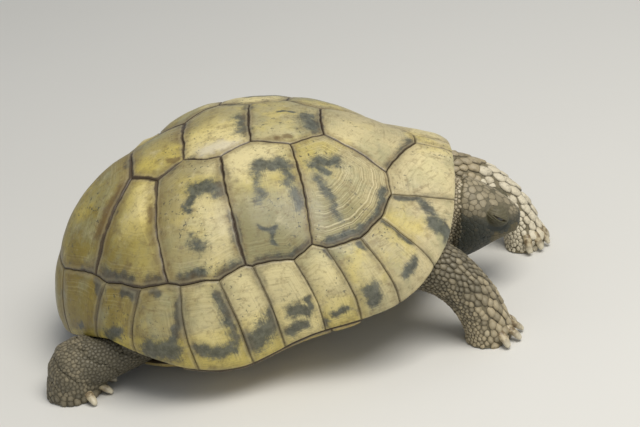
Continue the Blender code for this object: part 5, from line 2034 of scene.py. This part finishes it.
@dataclass
class Claws:
    """The claws and the spurs of the thighs, modelled once and copied."""

    form: ShellForm

    def build(self) -> list[Piece]:
        """Make every claw and return them."""
        model = self.model()
        finish = ClawFinish("claw_horn").build()
        made = []
        for number, (base, run, length, width) in enumerate(claw_places(self.form)):
            claw = model.copy()
            claw.data = model.data.copy()
            claw.name = claw.data.name = f"claw_{number + 1:02d}"
            bpy.context.scene.collection.objects.link(claw)
            side = np.array([-run[1], run[0], 0.0])
            side /= np.linalg.norm(side)
            up = np.cross(run, side)
            points = coordinates(claw)
            set_attribute(claw, "out", points[:, 0])
            scaled = points * np.array([length, width, width])
            placed = base + scaled @ np.stack([run, side, up])
            store_coordinates(claw, inside_box(placed * MM))
            claw.data.materials.append(finish)
            shade_smooth(claw)
            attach(claw, "root")
            made.append(claw)
        bpy.data.objects.remove(model, do_unlink=True)
        return made

    def model(self) -> Piece:
        """Shape one claw of length one along X, by extruding a circle from its root to its tip."""
        deselect_all()
        bpy.ops.mesh.primitive_circle_add(vertices=12, radius=0.50, fill_type="NGON",
                                          rotation=(0.0, math.pi / 2.0, 0.0), location=(-0.12, 0.0, 0.0))
        claw = bpy.context.active_object
        bpy.ops.object.transform_apply(location=True, rotation=True, scale=True)
        bpy.ops.object.mode_set(mode="EDIT")
        bpy.ops.mesh.select_all(action="SELECT")
        bpy.ops.transform.resize(value=(1.0, 1.0, 0.80))
        reach, drop = -0.12, 0.0
        for ahead, fall, size in ((0.10, 0.0, 1.06), (0.32, -0.03, 1.0), (0.54, -0.09, 0.95),
                                  (0.74, -0.17, 0.88), (0.90, -0.25, 0.76), (0.98, -0.30, 0.62)):
            bpy.ops.mesh.extrude_region_move(TRANSFORM_OT_translate={
                "value": (ahead - reach, 0.0, fall - drop)})
            bpy.ops.transform.resize(value=(1.0, size, size))
            reach, drop = ahead, fall
        bpy.ops.mesh.select_all(action="SELECT")
        bpy.ops.mesh.normals_make_consistent(inside=False)
        bpy.ops.object.mode_set(mode="OBJECT")
        modify(claw, "SUBSURF", levels=1, render_levels=1)
        return claw


@dataclass(frozen=True)
class EyeFinish:
    """A dark wet eye with a brown iris round a black pupil."""

    name: str
    pupil: Colour = (6, 5, 4)
    iris: Colour = (74, 50, 24)
    white: Colour = (34, 26, 18)

    def build(self) -> Material:
        """Make the material."""
        p = Paint(self.name)
        out = p.attribute("out")
        base = p.mix(p.ease(out, 0.80, 0.86), self.white, self.iris)
        base = p.mix(p.ease(out, 0.925, 0.945), base, self.pupil)
        p.shader.inputs["Coat Weight"].default_value = 0.8
        p.shader.inputs["Coat Roughness"].default_value = 0.04
        return p.finish(base, 0.12, None)


@dataclass
class Eyes:
    """The two eyeballs."""

    head: HeadFrame

    def build(self) -> list[Piece]:
        """Make both eyeballs and return them."""
        finish = EyeFinish("eye_wet").build()
        made = []
        for name, side in (("left", 1.0), ("right", -1.0)):
            centre, gaze = self.head.eye(side), self.head.gaze(side)
            deselect_all()
            bpy.ops.mesh.primitive_uv_sphere_add(segments=48, ring_count=32, radius=1.0)
            ball = bpy.context.active_object
            ball.name = ball.data.name = f"eyeball_{name}"
            points = coordinates(ball)
            cornea = 1.0 + 0.035 * ease((points[:, 2] - 0.80) / 0.15)
            across = np.cross(gaze, [0.0, 0.0, 1.0])
            across /= np.linalg.norm(across)
            axes = np.stack([across, np.cross(gaze, across), gaze])
            set_attribute(ball, "out", points[:, 2])
            radius = self.head.eye_radius * cornea[:, None]
            store_coordinates(ball, self.head.world(centre + points * radius @ axes))
            ball.data.materials.append(finish)
            shade_smooth(ball)
            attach(ball, "root")
            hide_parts(f"eye_{name}")
            made.append(ball)
        return made


# ---- floor, light and camera ----------------------------------------------------------------------
@dataclass(frozen=True)
class Studio:
    """A pale floor, soft light from above and the camera."""

    form: ShellForm
    azimuth: float = 0.796
    elevation: float = 26.274
    distance: float = 1000.2
    roll: float = -8.645
    target: tuple[float, float, float] = (29.8, 0.0, 53.8)
    lens: float = 108.83
    floor_size: float = 6.0

    def build(self) -> None:
        """Make floor, lights and camera."""
        self.camera()
        self.floor()
        self.lights()

    def camera(self) -> None:
        """Place the camera by its angles round the target, and roll it."""
        turn, rise, roll = (math.radians(v) for v in (self.azimuth, self.elevation, self.roll))
        back = Vector((math.sin(turn) * math.cos(rise), -math.cos(turn) * math.cos(rise), math.sin(rise)))
        level = Vector((math.cos(turn), math.sin(turn), 0.0))
        up = back.cross(level)
        right = level * math.cos(roll) + up * math.sin(roll)
        top = up * math.cos(roll) - level * math.sin(roll)
        target = Vector(self.target) + Vector((self.form.shift(), 0.0, 0.0))
        data = bpy.data.cameras.new("camera")
        data.lens = self.lens
        data.sensor_width = 36.0
        data.clip_start = 0.01
        obj = bpy.data.objects.new("camera", data)
        bpy.context.scene.collection.objects.link(obj)
        turned = Matrix((right, top, back)).transposed().to_4x4()
        obj.matrix_world = Matrix.Translation((target + back * self.distance) * MM) @ turned
        bpy.context.scene.camera = obj

    def floor(self) -> None:
        """Lay the floor at z = 0."""
        deselect_all()
        bpy.ops.mesh.primitive_plane_add(size=self.floor_size, location=(0.0, 0.0, 0.0))
        obj = bpy.context.active_object
        obj.name = "floor"
        p = Paint("floor_paint")
        obj.data.materials.append(p.finish(p.mix(p.noise(3.0), (218, 217, 212), (224, 223, 219)), 0.85,
                                           None))

    def lights(self) -> None:
        """Hang a large soft key light, a weaker fill, and light the room evenly."""
        world = bpy.data.worlds.new("room")
        world.use_nodes = True
        shade = world.node_tree.nodes["Background"]
        shade.inputs["Color"].default_value = (0.93, 0.96, 1.0, 1.0)
        shade.inputs["Strength"].default_value = 0.34
        bpy.context.scene.world = world
        self.area("key", (0.35, -0.45, 1.25), 0.8, 15.5, (1.0, 0.965, 0.90))
        self.area("fill", (0.9, -1.1, 0.5), 0.8, 1.5, (0.92, 0.96, 1.0))
        settings = bpy.context.scene.view_settings
        settings.view_transform = "Standard"
        settings.look = "None"
        settings.exposure = 0.0

    @staticmethod
    def area(name: str, place: tuple[float, float, float], size: float, power: float,
             colour: Colour) -> None:
        """Hang one square lamp that looks at the middle of the animal.

        Args:
            name: the lamp's name.
            place: where it hangs, in metres.
            size: its side's length.
            power: its power in watts.
            colour: its colour.
        """
        data = bpy.data.lights.new(name, "AREA")
        data.size = size
        data.energy = power
        data.color = colour
        obj = bpy.data.objects.new(name, data)
        bpy.context.scene.collection.objects.link(obj)
        aim = (Vector((0.0, 0.0, 0.05)) - Vector(place)).to_track_quat("-Z", "Y")
        obj.matrix_world = Matrix.Translation(place) @ aim.to_matrix().to_4x4()


def main() -> None:
    """Build the pieces in order and report each."""
    logging.basicConfig(level=logging.INFO, format="%(name)s: %(message)s")
    form = ShellForm()
    Studio(form).build()
    head = HeadFrame(form)
    body = Body(form, head)
    skin = Skin(body).build()
    LOG.info("skin, %d faces", len(skin.data.polygons))
    for piece in Coat(body, skin).build():
        LOG.info("%s, %d faces", piece.name, len(piece.data.polygons))
    LOG.info("%d claws", len(Claws(form).build()))
    LOG.info("%d eyes", len(Eyes(head).build()))
    plates = ShellPlates(form).build()
    LOG.info("%d plates, %d faces", len(plates), sum(len(p.data.polygons) for p in plates))


if __name__ == "__main__":
    main()
